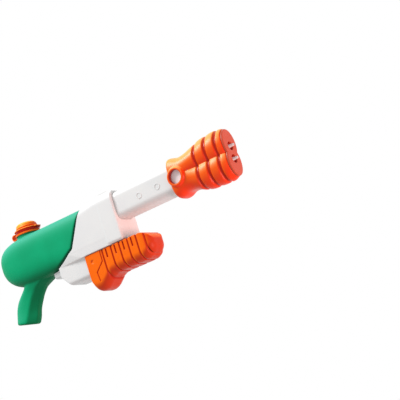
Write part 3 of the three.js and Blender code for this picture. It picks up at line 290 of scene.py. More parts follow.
def meet(piece, *tools):
    return combine(piece, tools, "INTERSECT")


def copy_of(piece):
    twin = bpy.data.objects.new(piece.name, piece.data.copy())
    scene.collection.objects.link(twin)
    return twin


def soften(piece, voxel, rounds):
    """Melt sharp lines: voxels of `voxel` millimetres, then `rounds` passes of smoothing."""
    remesh = piece.modifiers.new("voxels", "REMESH")
    remesh.mode = "VOXEL"
    remesh.voxel_size = voxel * MM
    remesh.use_smooth_shade = True
    smooth = piece.modifiers.new("smooth", "SMOOTH")
    smooth.factor = 0.5
    smooth.iterations = rounds
    return settle(piece)


def shade(piece, angle=35):
    """Smooth shading that keeps edges sharper than `angle` degrees."""
    piece.data.shade_smooth()
    piece.data.set_sharp_from_angle(angle=math.radians(angle))
    return piece


def dress(piece, name, finish):
    """Name a finished piece and give it its finish."""
    piece.name = name
    piece.data.name = name
    piece.data.materials.clear()
    piece.data.materials.append(finish.material)


def stand_for(piece, node):
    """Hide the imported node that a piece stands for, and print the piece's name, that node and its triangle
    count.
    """
    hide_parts(node)
    piece.data.calc_loop_triangles()
    print(piece.name, "stands for", node, "with", len(piece.data.loop_triangles), "triangles")


def fit_out(piece, name, body, node, finish):
    """Dress a piece that one body carries."""
    dress(piece, name, finish)
    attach(piece, body)
    stand_for(piece, node)


# %% [markdown]
# Shader maths reads best as plain expressions. The small class below wraps one socket of a node, and its
# operators add Math nodes. Everything else comes from one method that sets a node up and links its sockets.

# %% Shader expressions


class Flow:
    """A number that varies over the surface: one output socket of a material's nodes."""

    def __init__(self, tree, socket):
        self.tree = tree
        self.socket = socket

    def maths(self, operation, *others):
        node = self.tree.nodes.new("ShaderNodeMath")
        node.operation = operation
        for place, value in enumerate((self, *others)):
            connect(self.tree, node.inputs[place], value)
        return Flow(self.tree, node.outputs[0])

    def __add__(self, other):
        return self.maths("ADD", other)

    def __sub__(self, other):
        return self.maths("SUBTRACT", other)

    def __mul__(self, other):
        return self.maths("MULTIPLY", other)

    def __truediv__(self, other):
        return self.maths("DIVIDE", other)

    def __radd__(self, other):
        return self + other

    def __rmul__(self, other):
        return self * other

    def __rsub__(self, other):
        return self * -1 + other

    def __abs__(self):
        return self.maths("ABSOLUTE")


def connect(tree, socket, value):
    """Link a Flow to a socket, or set the socket to a plain value."""
    if isinstance(value, Flow):
        tree.links.new(value.socket, socket)
    else:
        socket.default_value = value


class Finish:
    """A procedural material around one Principled shader."""

    def __init__(self, name):
        self.material = bpy.data.materials.new(name)
        self.material.use_nodes = True
        self.tree = self.material.node_tree
        self.shader = self.tree.nodes["Principled BSDF"]
        self.place = self.node("ShaderNodeTexCoord", {}, {}, "Object")

    def node(self, kind, settings, inputs, output=0):
        """Add a node of a kind, set it up, feed its inputs, and return one of its outputs."""
        node = self.tree.nodes.new(kind)
        for key, value in settings.items():
            setattr(node, key, value)
        for key, value in inputs.items():
            connect(self.tree, node.inputs[key], value)
        return Flow(self.tree, node.outputs[output])

    def noise(self, per_metre, detail=2.0, rough=0.5):
        return self.node(
            "ShaderNodeTexNoise",
            {},
            {"Vector": self.place, "Scale": per_metre, "Detail": detail, "Roughness": rough},
        )

    def blend(self, share, first, second):
        """A colour between two colours."""
        ends = [end if isinstance(end, Flow) else (*end, 1.0) for end in (first, second)]
        return self.node("ShaderNodeMix", {"data_type": "RGBA"}, {0: share, 6: ends[0], 7: ends[1]}, 2)

    def drawing(self):
        """The drawing's x, y and z in millimetres at each point of the surface."""
        axes = [self.node("ShaderNodeSeparateXYZ", {}, {0: self.place}, k) for k in range(3)]
        return [(axis - float(shift)) / MM for axis, shift in zip(axes, SHIFT)]

    def lines(self, value, places, inner, outer):
        """1 within `inner` of any of the places, falling to 0 at `outer`."""
        nearest = abs(value - places[0])
        for place in places[1:]:
            nearest = nearest.maths("MINIMUM", abs(value - place))
        return 1.0 - self.step(nearest, inner, outer)

    def facing(self, side):
        """How far each face looks towards a direction: the cosine of the angle between them."""
        normal = self.node("ShaderNodeNewGeometry", {}, {}, "Normal")
        return self.node("ShaderNodeVectorMath", {"operation": "DOT_PRODUCT"}, {0: normal, 1: side}, 1)

    def step(self, value, low, high):
        """A soft step from 0 at `low` to 1 at `high`."""
        return self.node(
            "ShaderNodeMapRange",
            {"interpolation_type": "SMOOTHSTEP"},
            {"Value": value, "From Min": low, "From Max": high},
        )

    def feed(self, **inputs):
        for key, value in inputs.items():
            connect(self.tree, self.shader.inputs[key.replace("_", " ")], value)

    def bump(self, height, strength, depth):
        normal = self.node(
            "ShaderNodeBump",
            {},
            {"Height": height, "Strength": strength, "Distance": depth},
        )
        self.feed(Normal=normal)


def linear(colour):
    """A screen colour of 0 to 255 as the linear light that shaders use."""
    share = np.array(colour) / 255
    return tuple(np.where(share <= 0.04045, share / 12.92, ((share + 0.055) / 1.055) ** 2.4).tolist())


# %% [markdown]
# The finishes are all plastics, apart from the seals and screws. Real moulded plastic is never one flat
# colour: the pigment clouds a little, the mould's fine texture breaks up the gloss, and handling leaves
# faint dull patches. Each finish therefore has a slow noise for colour, a faster one for gloss and a fine
# one for the mould texture, at the scale that the real surface shows. Light and shade are painted into the
# colours as well: a finish can drift to a painted shade colour on faces that look down or forward, and to a
# painted sheen colour on faces that look up. A further colour paints shade into grooves, recesses and seams,
# so that they show as dark lines, and paints light on the barrel inside the nozzle's windows.

# %% Finishes
# Faces turned towards SHADE_SIDE get painted shade, and faces turned towards SKY_SIDE get painted sheen.
SHADE_SIDE = (0.6, 0.0, -0.8)  # down and forward
SHADE_RANGE = (-0.05, 0.6)
SKY_SIDE = (-0.1, -0.45, 0.89)  # up and to the right
SKY_RANGE = (0.38, 1.0)
CLOUDS_PER_METRE = 22.0
CLOUD_RANGE = (0.3, 0.7)
PATCHES_PER_METRE = 70.0
PATCH_SPREAD = 0.16  # between the glossiest and the dullest patch
GRAIN_STRENGTH = 0.35
COARSE = (900.0, 0.0002)  # grains in a metre, and their depth in metres
FINE = (1400.0, 0.0001)
PLASTIC_IOR = 1.49


def plastic(
    name, main, cloud, rough, grain, mirror=0.3, under=None, over=None, painted_light_colour=None, painted_light_share=None
):
    """A moulded plastic: two near colours in soft clouds, gloss in patches, and a fine mould grain as bump.
    Faces that look down or forward go towards the painted shade colour `under`, faces that look up towards
    the painted sheen colour `over`, and a share function paints a last colour of painted shade or painted
    light."""
    grain_per_metre, grain_depth = grain
    finish = Finish(name)
    clouds = finish.step(finish.noise(CLOUDS_PER_METRE, 3.0), *CLOUD_RANGE)
    colour = finish.blend(clouds, linear(main), linear(cloud))
    # Painted shade on faces that look down or forward, painted sheen on faces that look up, then painted
    # shade or light where the share says.
    if under:
        colour = finish.blend(finish.step(finish.facing(SHADE_SIDE), *SHADE_RANGE), colour, linear(under))
    if over:
        colour = finish.blend(finish.step(finish.facing(SKY_SIDE), *SKY_RANGE), colour, linear(over))
    if painted_light_share:
        colour = finish.blend(painted_light_share(finish), colour, linear(painted_light_colour))
    patches = finish.noise(PATCHES_PER_METRE, 4.0)
    finish.feed(
        Base_Color=colour,
        Roughness=patches * PATCH_SPREAD + (rough - PATCH_SPREAD / 2),
        Specular_IOR_Level=mirror,
        IOR=PLASTIC_IOR,
    )
    finish.bump(finish.noise(grain_per_metre, 2.0), GRAIN_STRENGTH, grain_depth)
    return finish


WHITE = plastic("white_shell_plastic", (218, 218, 217), (215, 215, 215), 0.46, FINE)
TETHER = plastic("orange_strap_plastic", (240, 104, 16), (236, 98, 14), 0.36, FINE, mirror=0.14)
MILKY = plastic("milky_clear_plastic", (214, 218, 218), (208, 213, 214), 0.3, FINE)
GREY = plastic("grey_works_plastic", (128, 132, 134), (122, 126, 128), 0.45, FINE)
RUBBER = plastic("black_seal_rubber", (34, 35, 37), (40, 41, 43), 0.75, COARSE)


def screw_steel():
    """Plated steel: a fine grain and dull patches."""
    finish = Finish("plated_screw_steel")
    patches = finish.noise(400.0, 3.0)
    finish.feed(
        Base_Color=finish.blend(patches, linear((176, 178, 180)), linear((196, 197, 198))),
        Roughness=patches * 0.2 + 0.22,
        Metallic=1.0,
    )
    finish.bump(finish.noise(4000.0, 1.0), 0.2, 0.0001)
    return finish


STEEL = screw_steel()
print("finishes", [m.name for m in bpy.data.materials])

# %% [markdown]
# The seam where the tank meets the housing is a bent line seen from the side. Both pieces are cut along it,
# so one function gives the region behind the line, moved by a chosen distance: the tank stops at the line,
# and the housing stops half a millimetre before it.

# %% Seam
SEAM = np.array([(-66, 66), (-109, -5), (-137, -20), (-160, -29.5), (-205, -35.5)], float)
SEAM_GAP = 0.5
TANK_REAR = -309.0


def behind_seam(shift):
    """The polygon of all that lies behind the seam. Each corner moves along its mitre, so every stretch of
    the seam moves by `shift` along its normal."""
    rise = SEAM[0] - SEAM[1]
    line = np.vstack([SEAM[0] + rise * 40 / rise[1], SEAM])
    along = np.diff(line, axis=0)
    along /= np.linalg.norm(along, axis=1)[:, None]
    normal = np.column_stack([-along[:, 1], along[:, 0]])
    before = np.vstack([normal[:1], normal])
    after = np.vstack([normal, normal[-1:]])
    mitre = before + after
    mitre /= np.linalg.norm(mitre, axis=1)[:, None]
    moved = line + mitre * (shift / (mitre * after).sum(axis=1))[:, None]
    far = TANK_REAR - 40
    return np.vstack([moved, [far, moved[-1, 1]], [far, moved[0, 1]]])


# %% [markdown]
# The tank is one blow-moulded bottle. Its sections are ovals, squarer on top than below, that shrink to a
# rounded rear end. Where it meets the housing its edge rolls inwards into a dark line, which painted shade
# on the rolled edge darkens further. A roll is made from a few slightly smaller bottles, each reaching a
# little closer to the seam, whose steps the softening melts into one round edge. The pistol grip is a second
# stack of sections that lean backwards and flare out into the bottle, with flat faces along its front.

# %% Tank
TANK_WIDTH = 68.0
TANK_TOP = 65.5
TANK_LOW = -36.0
TANK_NOSE = -225.0
TANK_MID = 20.0
TANK_WALL = 4.0
TANK_ROLL = 5.0
TANK_DROP = 12.0  # how far the bottom falls on its way forward to the knee
EDGE_RANGE = (2.2, 5.4)  # distance from the seam over which the painted shade fades
EDGE_FADE = (20, 50)  # distance from the seam's rear end over which it sets in
HEEL_X = -158.0
KNEE_X = -109.0
GRIP_WIDTH = 34.0
GRIP_DEPTH = 54.0
GRIP_TOP_X = -243.0
GRIP_BASE = (-288.0, -104.0)
GRIP_TILT = math.radians(14)
GRIP_ROUNDING = 2  # neighbours on each side that round a corner of the section
GRIP_ROLL = 4.0
NECK_X = -226.0
NECK_RADIUS = 24.2
NECK_BORE = 20.0
NECK_TOP = 73.0
LUG_HALF = 5.0
BOSS = 5.6
FIT = 0.3
PASSAGE = 2.8
BARB = 4.3
FEED_X = -143.0
FEED_FLOOR = -22.5
SHANK = 1.5
TANK_SCREWS = {"upper": (-54.0, 55.0), "middle": (-83.0, 14.0)}


def seam_edge_shade(finish):
    """Where shade is painted into the tank's colour: on its rolled edge, close behind the seam's nearest
    stretch.
    """
    x, y, z = finish.drawing()
    nearest = None
    for start, end in zip(SEAM[:-1], SEAM[1:]):
        along = (end - start) / np.linalg.norm(end - start)
        behind = (x - start[0]) * float(along[1]) - (z - start[1]) * float(along[0])
        nearest = behind if nearest is None else nearest.maths("MINIMUM", behind)
    rear = float(SEAM[-1, 0])
    set_in = finish.step(x, rear + EDGE_FADE[0], rear + EDGE_FADE[1])
    return (1.0 - finish.step(nearest, *EDGE_RANGE)) * set_in


# The green's `under` colour is painted shade on faces that look down or forward, its `over` colour painted
# sheen on faces that look up, and its last colour painted shade along the seam.
GREEN = plastic(
    "green_tank_plastic", (0, 158, 107), (0, 151, 101), 0.48, COARSE, mirror=0.11,
    under=(0, 108, 66), over=(58, 168, 138), painted_light_colour=(0, 70, 46), painted_light_share=seam_edge_shade,
)


def tank_rings(inset, count=112):
    """Ovals along X. Past the nose plane, u runs from 0 to 1, and width and height follow superellipses of u.
    The ovals are squarer above than below, and rounder towards the rear."""
    rear = TANK_REAR + inset
    nose = TANK_NOSE - rear
    end = np.sin(np.linspace(0, 0.975, 34) * math.pi / 2)
    x = np.concatenate([np.linspace(SEAM[0, 0] + 20, TANK_NOSE, 30)[:-1], TANK_NOSE - end * nose])[:, None]
    u = np.clip((TANK_NOSE - x) / nose, 0, 1)
    half = (TANK_WIDTH / 2 - inset) * closing(u, 2.6)
    high = TANK_MID + (TANK_TOP - inset - TANK_MID) * closing(u, 3)
    low = TANK_MID - (TANK_MID - TANK_LOW - inset) * closing(u, 2.3)
    low = low - TANK_DROP * np.clip((x - HEEL_X) / (KNEE_X - HEEL_X), 0, 1)
    angle = np.linspace(0, 2 * math.pi, count, endpoint=False)
    power = 2 / np.where(np.sin(angle) < 0, 3 - 0.6 * u, 3.8 - 1.5 * u)
    y = half * np.sign(np.cos(angle)) * np.abs(np.cos(angle)) ** power
    z = (low + high) / 2 + (high - low) / 2 * np.sign(np.sin(angle)) * np.abs(np.sin(angle)) ** power
    return np.stack([np.broadcast_to(x, y.shape), y, z], axis=-1)


def grip_outline(count, corner):
    """One section of the grip in shares of its depth and width: a blunt front, a flat facet on each side
    that ends at `corner`, and a round back. Points are even along the line, each the mean of its
    neighbours."""
    turn = np.radians(np.linspace(0, 90, 13))
    quarter = np.vstack([
        [(1.0, 0.0), (1.0, 0.34), (corner, 1.0)],
        np.column_stack([-np.sin(turn) ** 0.8, np.cos(turn) ** 0.8])[1:],
    ])
    line = np.vstack([quarter, (quarter * (1, -1))[::-1][1:]])
    length = np.concatenate([[0], np.cumsum(np.linalg.norm(np.diff(line, axis=0), axis=1))])
    even = np.linspace(0, length[-1], count, endpoint=False)
    ring = np.column_stack([np.interp(even, length, line[:, k]) for k in (0, 1)])
    near = np.arange(-GRIP_ROUNDING, GRIP_ROUNDING + 1)
    return np.mean([np.roll(ring, k, axis=0) for k in near], axis=0).T


def grip_rings(inset, count=96):
    """Leaning sections of the grip: rows of height, front swell, back swell and share of the width."""
    height = np.linspace(-14, 80.5, 48)
    rows = through([
        (-14, 2, -2, 1.1),
        (6, 1.5, 2.5, 1.05),
        (23, -2.5, 9.5, 0.98),
        (37, -2.5, 14, 0.98),
        (51, -1, 13.5, 1.02),
        (60.5, 4, 8.5, 1.1),
        (68.5, 20, 3, 1.22),
        (80.5, 34, -2, 1.42),
    ], height)
    lean = (GRIP_BASE[0] - GRIP_TOP_X) / (GRIP_BASE[1] - TANK_LOW)
    middle = (GRIP_BASE[0] + lean * height)[:, None]
    thicken = inset * (1 + 2.2 * np.clip((height - 50) / 14, 0, 1))[:, None]
    front = (GRIP_DEPTH / 2 + rows[:, :1]) - thicken
    rear = (GRIP_DEPTH / 2 + rows[:, 1:2]) - inset
    half = GRIP_WIDTH * rows[:, 2:] / 2 - inset
    lower, upper = grip_outline(count, 0.16), grip_outline(count, 0.6)
    flare = np.clip((height - 38) / 34, 0, 1)[:, None]
    u, v = ((1 - flare) * a + flare * b for a, b in zip(lower, upper))
    x = middle + np.where(u > 0, front, rear) * u
    y = half * v
    z = np.broadcast_to((GRIP_BASE[1] + height)[:, None], y.shape)
    return np.stack([x, y, z], axis=-1)


def below_grip(raise_by):
    """Everything under the grip's flat foot, which leans with the grip."""
    corners = np.array([(-80, 0), (80, 0), (80, -60), (-80, -60)], float) + (0, raise_by)
    c, s = math.cos(GRIP_TILT), math.sin(GRIP_TILT)
    turned_corners = corners @ np.array([[c, -s], [s, c]])
    return prism(turned_corners + GRIP_BASE, -80, 80)


def bottle(inset, shift):
    return meet(skin(tank_rings(inset)), prism(behind_seam(shift), -80, 80))


def grip(inset, raise_by):
    return cut(skin(grip_rings(inset)), below_grip(raise_by))


roll = [(1 - math.cos(a), 1 - math.sin(a)) for a in np.radians(np.linspace(0, 90, 6))]
bottles = [bottle(TANK_ROLL * inward, -TANK_ROLL * short) for inward, short in roll]
grips = [grip(GRIP_ROLL * inward, GRIP_ROLL * short) for inward, short in roll]
tongues = [
    block(x - 34, x, -LUG_HALF, LUG_HALF, z - BOSS, z + BOSS) for x, z in TANK_SCREWS.values()
] + [
    rod("y", BOSS, -LUG_HALF, LUG_HALF, (x, 0, z)) for x, z in TANK_SCREWS.values()
]
tank = join(
    bottles[0],
    *bottles[1:],
    *grips,
    rod("z", NECK_RADIUS, TANK_MID, NECK_TOP, (NECK_X, 0, 0)),
    rod("z", BARB, FEED_FLOOR - 7, TANK_MID, (FEED_X, 0, 0)),
    *tongues,
)
cut(
    tank,
    bottle(TANK_WALL, -1.4 * TANK_WALL),
    grip(TANK_WALL, TANK_WALL),
    rod("z", NECK_BORE, TANK_MID, NECK_TOP + 1, (NECK_X, 0, 0)),
    rod("z", PASSAGE, FEED_FLOOR - 8, TANK_MID, (FEED_X, 0, 0)),
    *[rod("y", SHANK + FIT, -40, 40, (x, 0, z)) for x, z in TANK_SCREWS.values()],
)
soften(tank, 1.4, 9)
fit_out(tank, "tank_bottle", "body", "tank", GREEN)

# %% [markdown]
# The housing is two white mouldings that meet on the middle plane. It is worked out whole and then cut in
# two: an upper box round the barrel, a slightly thicker collar at the front with a ramp on its crown, a
# narrower rail below that the pump handle rides on, and a small block under the tank. A skirt carries each
# side down to just above the pump and runs out towards the heel. Inside are the cradle for the barrel,
# saddles for the pump cylinder, and bosses for the screws.

# %% Housing
WALL = 2.4
BODY_WIDTH = 66.0
BODY_FRONT = 13.0
BODY_TOP = 71.0
BODY_TOP_REAR = 66.5
BODY_CORNER = 17.0
COLLAR_LENGTH = 37.0
COLLAR_PROUD = 0.5
COLLAR_LOW = -28.5
CREST_HEIGHT = 9.5
CREST_WIDTH = 42.0
LEDGE_Z = -17.0
SKIRT_ROOT = 8.0  # how far the skirt reaches up into the box
SKIRT_DEPTH = 3.0  # how far it reaches into the rail
SKIRT_DRAFT = 0.8
SKIRT_GAP = 0.35  # above the pump
SKIRT_FULL = -92.0  # ahead of this the skirt's lower edge is as wide as the box
RAIL_WIDTH = 53.2
RAIL_LOW = -71.0
RAIL_FRONT = -14.0
RAIL_CORNER = 8.0
HEEL_RISE = 22.5
HEEL_RUN = 17.5
HEEL_LUG_LENGTH = 23.0
HEEL_LUG_WIDTH = 36.0
HEEL_LUG_LOW = -45.0
HEEL_LUG_CORNER = 5.0
HEEL_LUG_DRAW = 0.6  # share of the corner by which its rear end is drawn in
SLIDE = 0.7
SPLIT = 0.2
FAR = 400.0  # past every side of the squirter
STROKE = 50.0
PUMP_TOP = -29.8
LIP = 3.2
LIP_REAR = -32.0
LIP_FRONT = 38.0
CYLINDER_Z = -48.0
CYLINDER_OUTER = 15.5
CYLINDER_FRONT = -36.0
CYLINDER_REAR = -108.0
ROD_RADIUS = 5.0
BARREL_WIDTH = 52.0
BARREL_HEIGHT = 54.6
BARREL_CORNER = 13.0
BARREL_FRONT = 190.0
BARREL_FLANGE = 3.0
HEAD_RADIUS = 3.2
HEAD_HEIGHT = 2.2
HEAD_SUNK = 1.6
SCREW_BITE = 5.0
BODY_SCREWS = {**TANK_SCREWS, "front": (2.0, -7.0)}
BRIDGE_SCREW = (-26.0, -22.4)
HEEL_SCREW = (HEEL_X - HEEL_LUG_LENGTH / 2, -38.3)


def seat_in(width):
    """The plane under a screw head that is sunk in a side of the given width."""
    return width / 2 - HEAD_HEIGHT - HEAD_SUNK


def screw_hole(spot, seat, length):
    x, z = spot
    return join(
        rod("y", SHANK + FIT, seat - length - 1, seat, (x, 0, z), 24),
        rod("y", HEAD_RADIUS + FIT, seat - FIT, seat + 20, (x, 0, z), 32),
    )


def upper_form(inset):
    """The box round the barrel; its crown falls a little towards the tank."""
    front = BODY_FRONT - inset
    slope_front = BODY_FRONT - COLLAR_LENGTH - 10
    x = np.array([KNEE_X - 12, slope_front, front - 2, front - 0.6, front])
    pull = np.array([0, 0, 0, 0.5, 1.4])
    fall = (BODY_TOP - BODY_TOP_REAR) / 30 * np.maximum(0, slope_front - x)
    return skin(rounded_rings(
        x,
        BODY_WIDTH / 2 - inset - pull,
        LEDGE_Z + inset,
        BODY_TOP - fall - inset - pull,
        5 - inset / 2,
        BODY_CORNER - inset,
    ))


def collar_form(inset):
    """The slightly thicker front of the box, with rounded edges."""
    rear = BODY_FRONT - COLLAR_LENGTH + inset
    front = BODY_FRONT - inset
    x = np.array([rear, rear + 0.8, rear + 1.6, front - 2.4, front - 0.7, front])
    pull = np.array([COLLAR_PROUD, 0.3, 0, 0, 0.7, 2.0])
    return skin(rounded_rings(
        x,
        BODY_WIDTH / 2 + COLLAR_PROUD - inset - pull,
        COLLAR_LOW + inset + pull,
        BODY_TOP + COLLAR_PROUD - inset - pull,
        5 - inset / 2,
        BODY_CORNER - inset,
    ))


def crest_form():
    """The ramp on the collar's crown: a side outline with its upper edges rounded off."""
    rear = BODY_FRONT - COLLAR_LENGTH - 3
    peak = BODY_TOP + CREST_HEIGHT
    low = BODY_TOP - BODY_CORNER / 3
    side = prism([
        (rear, low),
        (BODY_FRONT - 1, low),
        (BODY_FRONT - 1, BODY_TOP + 0.6),
        (BODY_FRONT - 4, BODY_TOP + 2),
        (rear + 21, peak - 2),
        (rear + 13, peak),
        (rear + 9, peak - 0.8),
        (rear + 4.5, peak - 3.4),
    ], -CREST_WIDTH, CREST_WIDTH)
    return meet(side, skin(rounded_rings([rear - 1, BODY_FRONT], CREST_WIDTH / 2, 0, peak + 0.1, 4, 6)))


def rail_form(inset):
    """The bar that the pump rides on, cut to a side outline that rises to the heel."""
    low = RAIL_LOW + inset
    front = RAIL_FRONT - inset
    rear = HEEL_X + inset
    side = prism([
        (front, BODY_TOP / 2),
        (front, low + 2),
        (front - 2, low),
        (rear + HEEL_RUN + 3, low),
        (rear + HEEL_RUN, low + 1.5),
        (rear, RAIL_LOW + HEEL_RISE + inset / 2),
        (rear, BODY_TOP / 2),
    ], -RAIL_WIDTH, RAIL_WIDTH)
    bar = rounded_rings(
        [HEEL_X - 6, RAIL_FRONT + 1],
        RAIL_WIDTH / 2 - inset,
        low,
        LEDGE_Z + 12,
        RAIL_CORNER - inset / 2,
        2,
    )
    return meet(skin(bar), side)


def heel_form():
    """The small block under the tank, with a rounded rear end."""
    rear = HEEL_X - HEEL_LUG_LENGTH
    turn = np.radians(np.linspace(90, 0, 7))
    x = np.append(rear + HEEL_LUG_CORNER * (1 - np.sin(turn)), HEEL_X + WALL)
    pull = np.append(HEEL_LUG_DRAW * HEEL_LUG_CORNER * (1 - np.cos(turn)), 0)
    return skin(rounded_rings(
        x, HEEL_LUG_WIDTH / 2 - pull, HEEL_LUG_LOW + pull, SEAM[3, 1] + 5, HEEL_LUG_CORNER, 1
    ))


def barrel_bar(grow, x0, x1, steps=12):
    """A bar with the barrel's section, larger by `grow` all round."""
    half = BARREL_HEIGHT / 2 + grow
    corner = BARREL_CORNER + grow
    return skin(rounded_rings(
        [x0, x1], BARREL_WIDTH / 2 + grow, BARREL_Z - half, BARREL_Z + half, corner, corner, steps
    ))


def skirt(side):
    """The lower edge of the box on one side, carried down to just above the pump. It runs out towards the
    heel, where it is no wider than the rail."""
    foot = RAIL_WIDTH / 2
    wide = BODY_WIDTH / 2
    inner = foot - SKIRT_DEPTH
    high = LEDGE_Z + SKIRT_ROOT
    low = PUMP_TOP + SKIRT_GAP
    rows = [(HEEL_X, foot), (SKIRT_FULL, wide), (BODY_FRONT - COLLAR_LENGTH + 4, wide)]
    rings = [
        [
            (x, side * inner, high),
            (x, side * wide, high),
            (x, side * (edge - SKIRT_DRAFT), low),
            (x, side * inner, low),
        ]
        for x, edge in rows
    ]
    return skin(np.array(rings))


def both_sides(x0, x1, inner, outer, z0, z1):
    return [block(x0, x1, -outer, -inner, z0, z1), block(x0, x1, inner, outer, z0, z1)]


def housing_form():
    """The whole housing: its forms joined and hollowed, the inner works added, and all fits and holes cut."""
    cradle_rear = BARREL_REAR - 2 * WALL
    cradle_front = BARREL_REAR + BARREL_FLANGE + 2 * WALL
    groove_rear = LIP_REAR - STROKE - 3
    lip_low = PUMP_TOP - LIP
    saddle_top = CYLINDER_Z + CYLINDER_OUTER - 1
    form = join(
        upper_form(0), collar_form(0), crest_form(), rail_form(0), heel_form(), skirt(-1), skirt(1)
    )
    outside = copy_of(form)
    cut(form, upper_form(WALL), collar_form(WALL), rail_form(WALL))
    works = join(
        block(cradle_rear, cradle_front, -BODY_WIDTH, BODY_WIDTH, LEDGE_Z + 14, BODY_TOP + 20),
        *[
            block(x, x + WALL, -RAIL_WIDTH, RAIL_WIDTH, RAIL_LOW - 5, saddle_top)
            for x in (CYLINDER_FRONT - WALL - FIT, CYLINDER_REAR + 8)
        ],
        *both_sides(
            groove_rear - WALL,
            RAIL_FRONT,
            RAIL_WIDTH / 2 - LIP - 2 * WALL,
            RAIL_WIDTH / 2,
            lip_low - FIT - WALL,
            PUMP_TOP + FIT + WALL,
        ),
        *[rod("y", BOSS, -BODY_WIDTH, BODY_WIDTH, (x, 0, z)) for x, z in BODY_SCREWS.values()],
        rod("y", BOSS - 1, -RAIL_WIDTH, RAIL_WIDTH, (BRIDGE_SCREW[0], 0, BRIDGE_SCREW[1])),
    )
    join(form, meet(works, outside))
    slots = [
        block(x - 40, x + BOSS + FIT, -LUG_HALF - FIT, LUG_HALF + FIT, z - BOSS - FIT, z + BOSS + FIT)
        for x, z in TANK_SCREWS.values()
    ]
    body_seat = seat_in(BODY_WIDTH)
    rail_seat = seat_in(RAIL_WIDTH)
    heel_seat = seat_in(HEEL_LUG_WIDTH)
    return cut(
        form,
        prism(behind_seam(SEAM_GAP), -BODY_WIDTH, BODY_WIDTH),
        barrel_bar(FIT, BARREL_REAR - FIT, BODY_FRONT + 5),
        barrel_bar(BARREL_FLANGE + FIT, BARREL_REAR - FIT, BARREL_REAR + BARREL_FLANGE + FIT),
        barrel_bar(-BARREL_FLANGE - WALL, cradle_rear - 1, BARREL_REAR),
        rod("x", CYLINDER_OUTER + FIT, CYLINDER_REAR, CYLINDER_FRONT, (0, 0, CYLINDER_Z)),
        rod("x", ROD_RADIUS + 2 * FIT, CYLINDER_FRONT, RAIL_FRONT + 5, (0, 0, CYLINDER_Z)),
        *both_sides(
            groove_rear,
            RAIL_FRONT + 5,
            RAIL_WIDTH / 2 - LIP - FIT,
            RAIL_WIDTH,
            lip_low - SLIDE,
            PUMP_TOP + SLIDE,
        ),
        *slots,
        *[screw_hole(spot, body_seat, body_seat + SCREW_BITE) for spot in BODY_SCREWS.values()],
        screw_hole(BRIDGE_SCREW, rail_seat, rail_seat + SCREW_BITE),
        screw_hole(HEEL_SCREW, heel_seat, heel_seat + SCREW_BITE),
    )


def split(form, voxel, rounds):
    """The two halves of a moulding, softened first so that the parting line stays fine."""
    soften(form, voxel, rounds)
    twin = copy_of(form)
    right_half = meet(form, block(-FAR, FAR, -FAR, -SPLIT / 2, -FAR, FAR))
    left_half = meet(twin, block(-FAR, FAR, SPLIT / 2, FAR, -FAR, FAR))
    return shade(right_half), shade(left_half)


for side, half in zip(("right", "left"), split(housing_form(), 1.0, 3)):
    fit_out(half, f"housing_{side}", "body", f"body_shell_{side}", WHITE)

# %% [markdown]
# The barrel is a square tube with large round corners, and two plain raised rings on each side. It shows
# through the nozzle's round windows, where light is painted into its finish, so it is lighter than its own
# white there. A tube needs no softening: a fine grid and two cuts give it, and edges stay crisp.

# %% Barrel
NOZZLE_SCREWS = [(BARREL_FRONT - 7, BARREL_Z + lift) for lift in (16, -16)]
RING_SPOTS = [(73.0, 36.6), (118.0, 37.4)]
RING_RADIUS = 5.6
RING_BEAD = (0.9, 0.8)  # height and half width of the bead
WINDOW = (167.0, 37.5)
WINDOW_RADIUS = 13.4


def raised_ring(x, z, side):
    """A low round bead, half sunk in the barrel's side."""
    turn = np.linspace(0, 2 * math.pi, 16, endpoint=False)
    profile = np.column_stack([RING_BEAD[0] * np.sin(turn), RING_RADIUS + RING_BEAD[1] * np.cos(turn)])
    return turned(profile, "y", (x, side * BARREL_WIDTH / 2, z), 56, True)


def in_window(finish, x, z, margin):
    """1 inside the nozzle's round window, seen from the side, and 0 from one millimetre past `margin`."""
    across, up = x - WINDOW[0], z - WINDOW[1]
    away = (across * across + up * up).maths("SQRT")
    return 1.0 - finish.step(away, WINDOW_RADIUS + margin, WINDOW_RADIUS + margin + 1.0)


def window_painted_light(finish):
    """Where light is painted onto the barrel: on its sides, inside the nozzle's round windows."""
    x, y, z = finish.drawing()
    return in_window(finish, x, z, 0.0)


# The barrel's white, with painted light inside the nozzle's windows.
WINDOW_LIT_WHITE = plastic(
    "white_barrel_plastic", (218, 218, 217), (215, 215, 215), 0.46, FINE,
    painted_light_colour=(250, 247, 246), painted_light_share=window_painted_light,
)

barrel = join(
    barrel_bar(0, BARREL_REAR, BARREL_FRONT, 20),
    barrel_bar(BARREL_FLANGE, BARREL_REAR, BARREL_REAR + BARREL_FLANGE, 20),
    *[raised_ring(x, z, side) for x, z in RING_SPOTS for side in (-1, 1)],
)
cut(
    barrel,
    barrel_bar(-WALL, BARREL_REAR - 1, BARREL_FRONT + 1),
    *[rod("y", SHANK + FIT, 0, BODY_WIDTH, (x, 0, z), 24) for x, z in NOZZLE_SCREWS],
)
shade(barrel)
fit_out(barrel, "barrel_tube", "body", "barrel", WINDOW_LIT_WHITE)

# %% [markdown]
# The nozzle is the most shaped piece. It starts as a squarish sleeve on the barrel, draws in to a waist, and
# opens into two stacked lobes, one for each jet. Its section is a blend of a squarish oval and two circles,
# and rows of sizes along it say how far the blend has gone. Three ring grooves are places where the section
# shrinks a little, and the bands between them swell, so the outline steps as in the photograph.

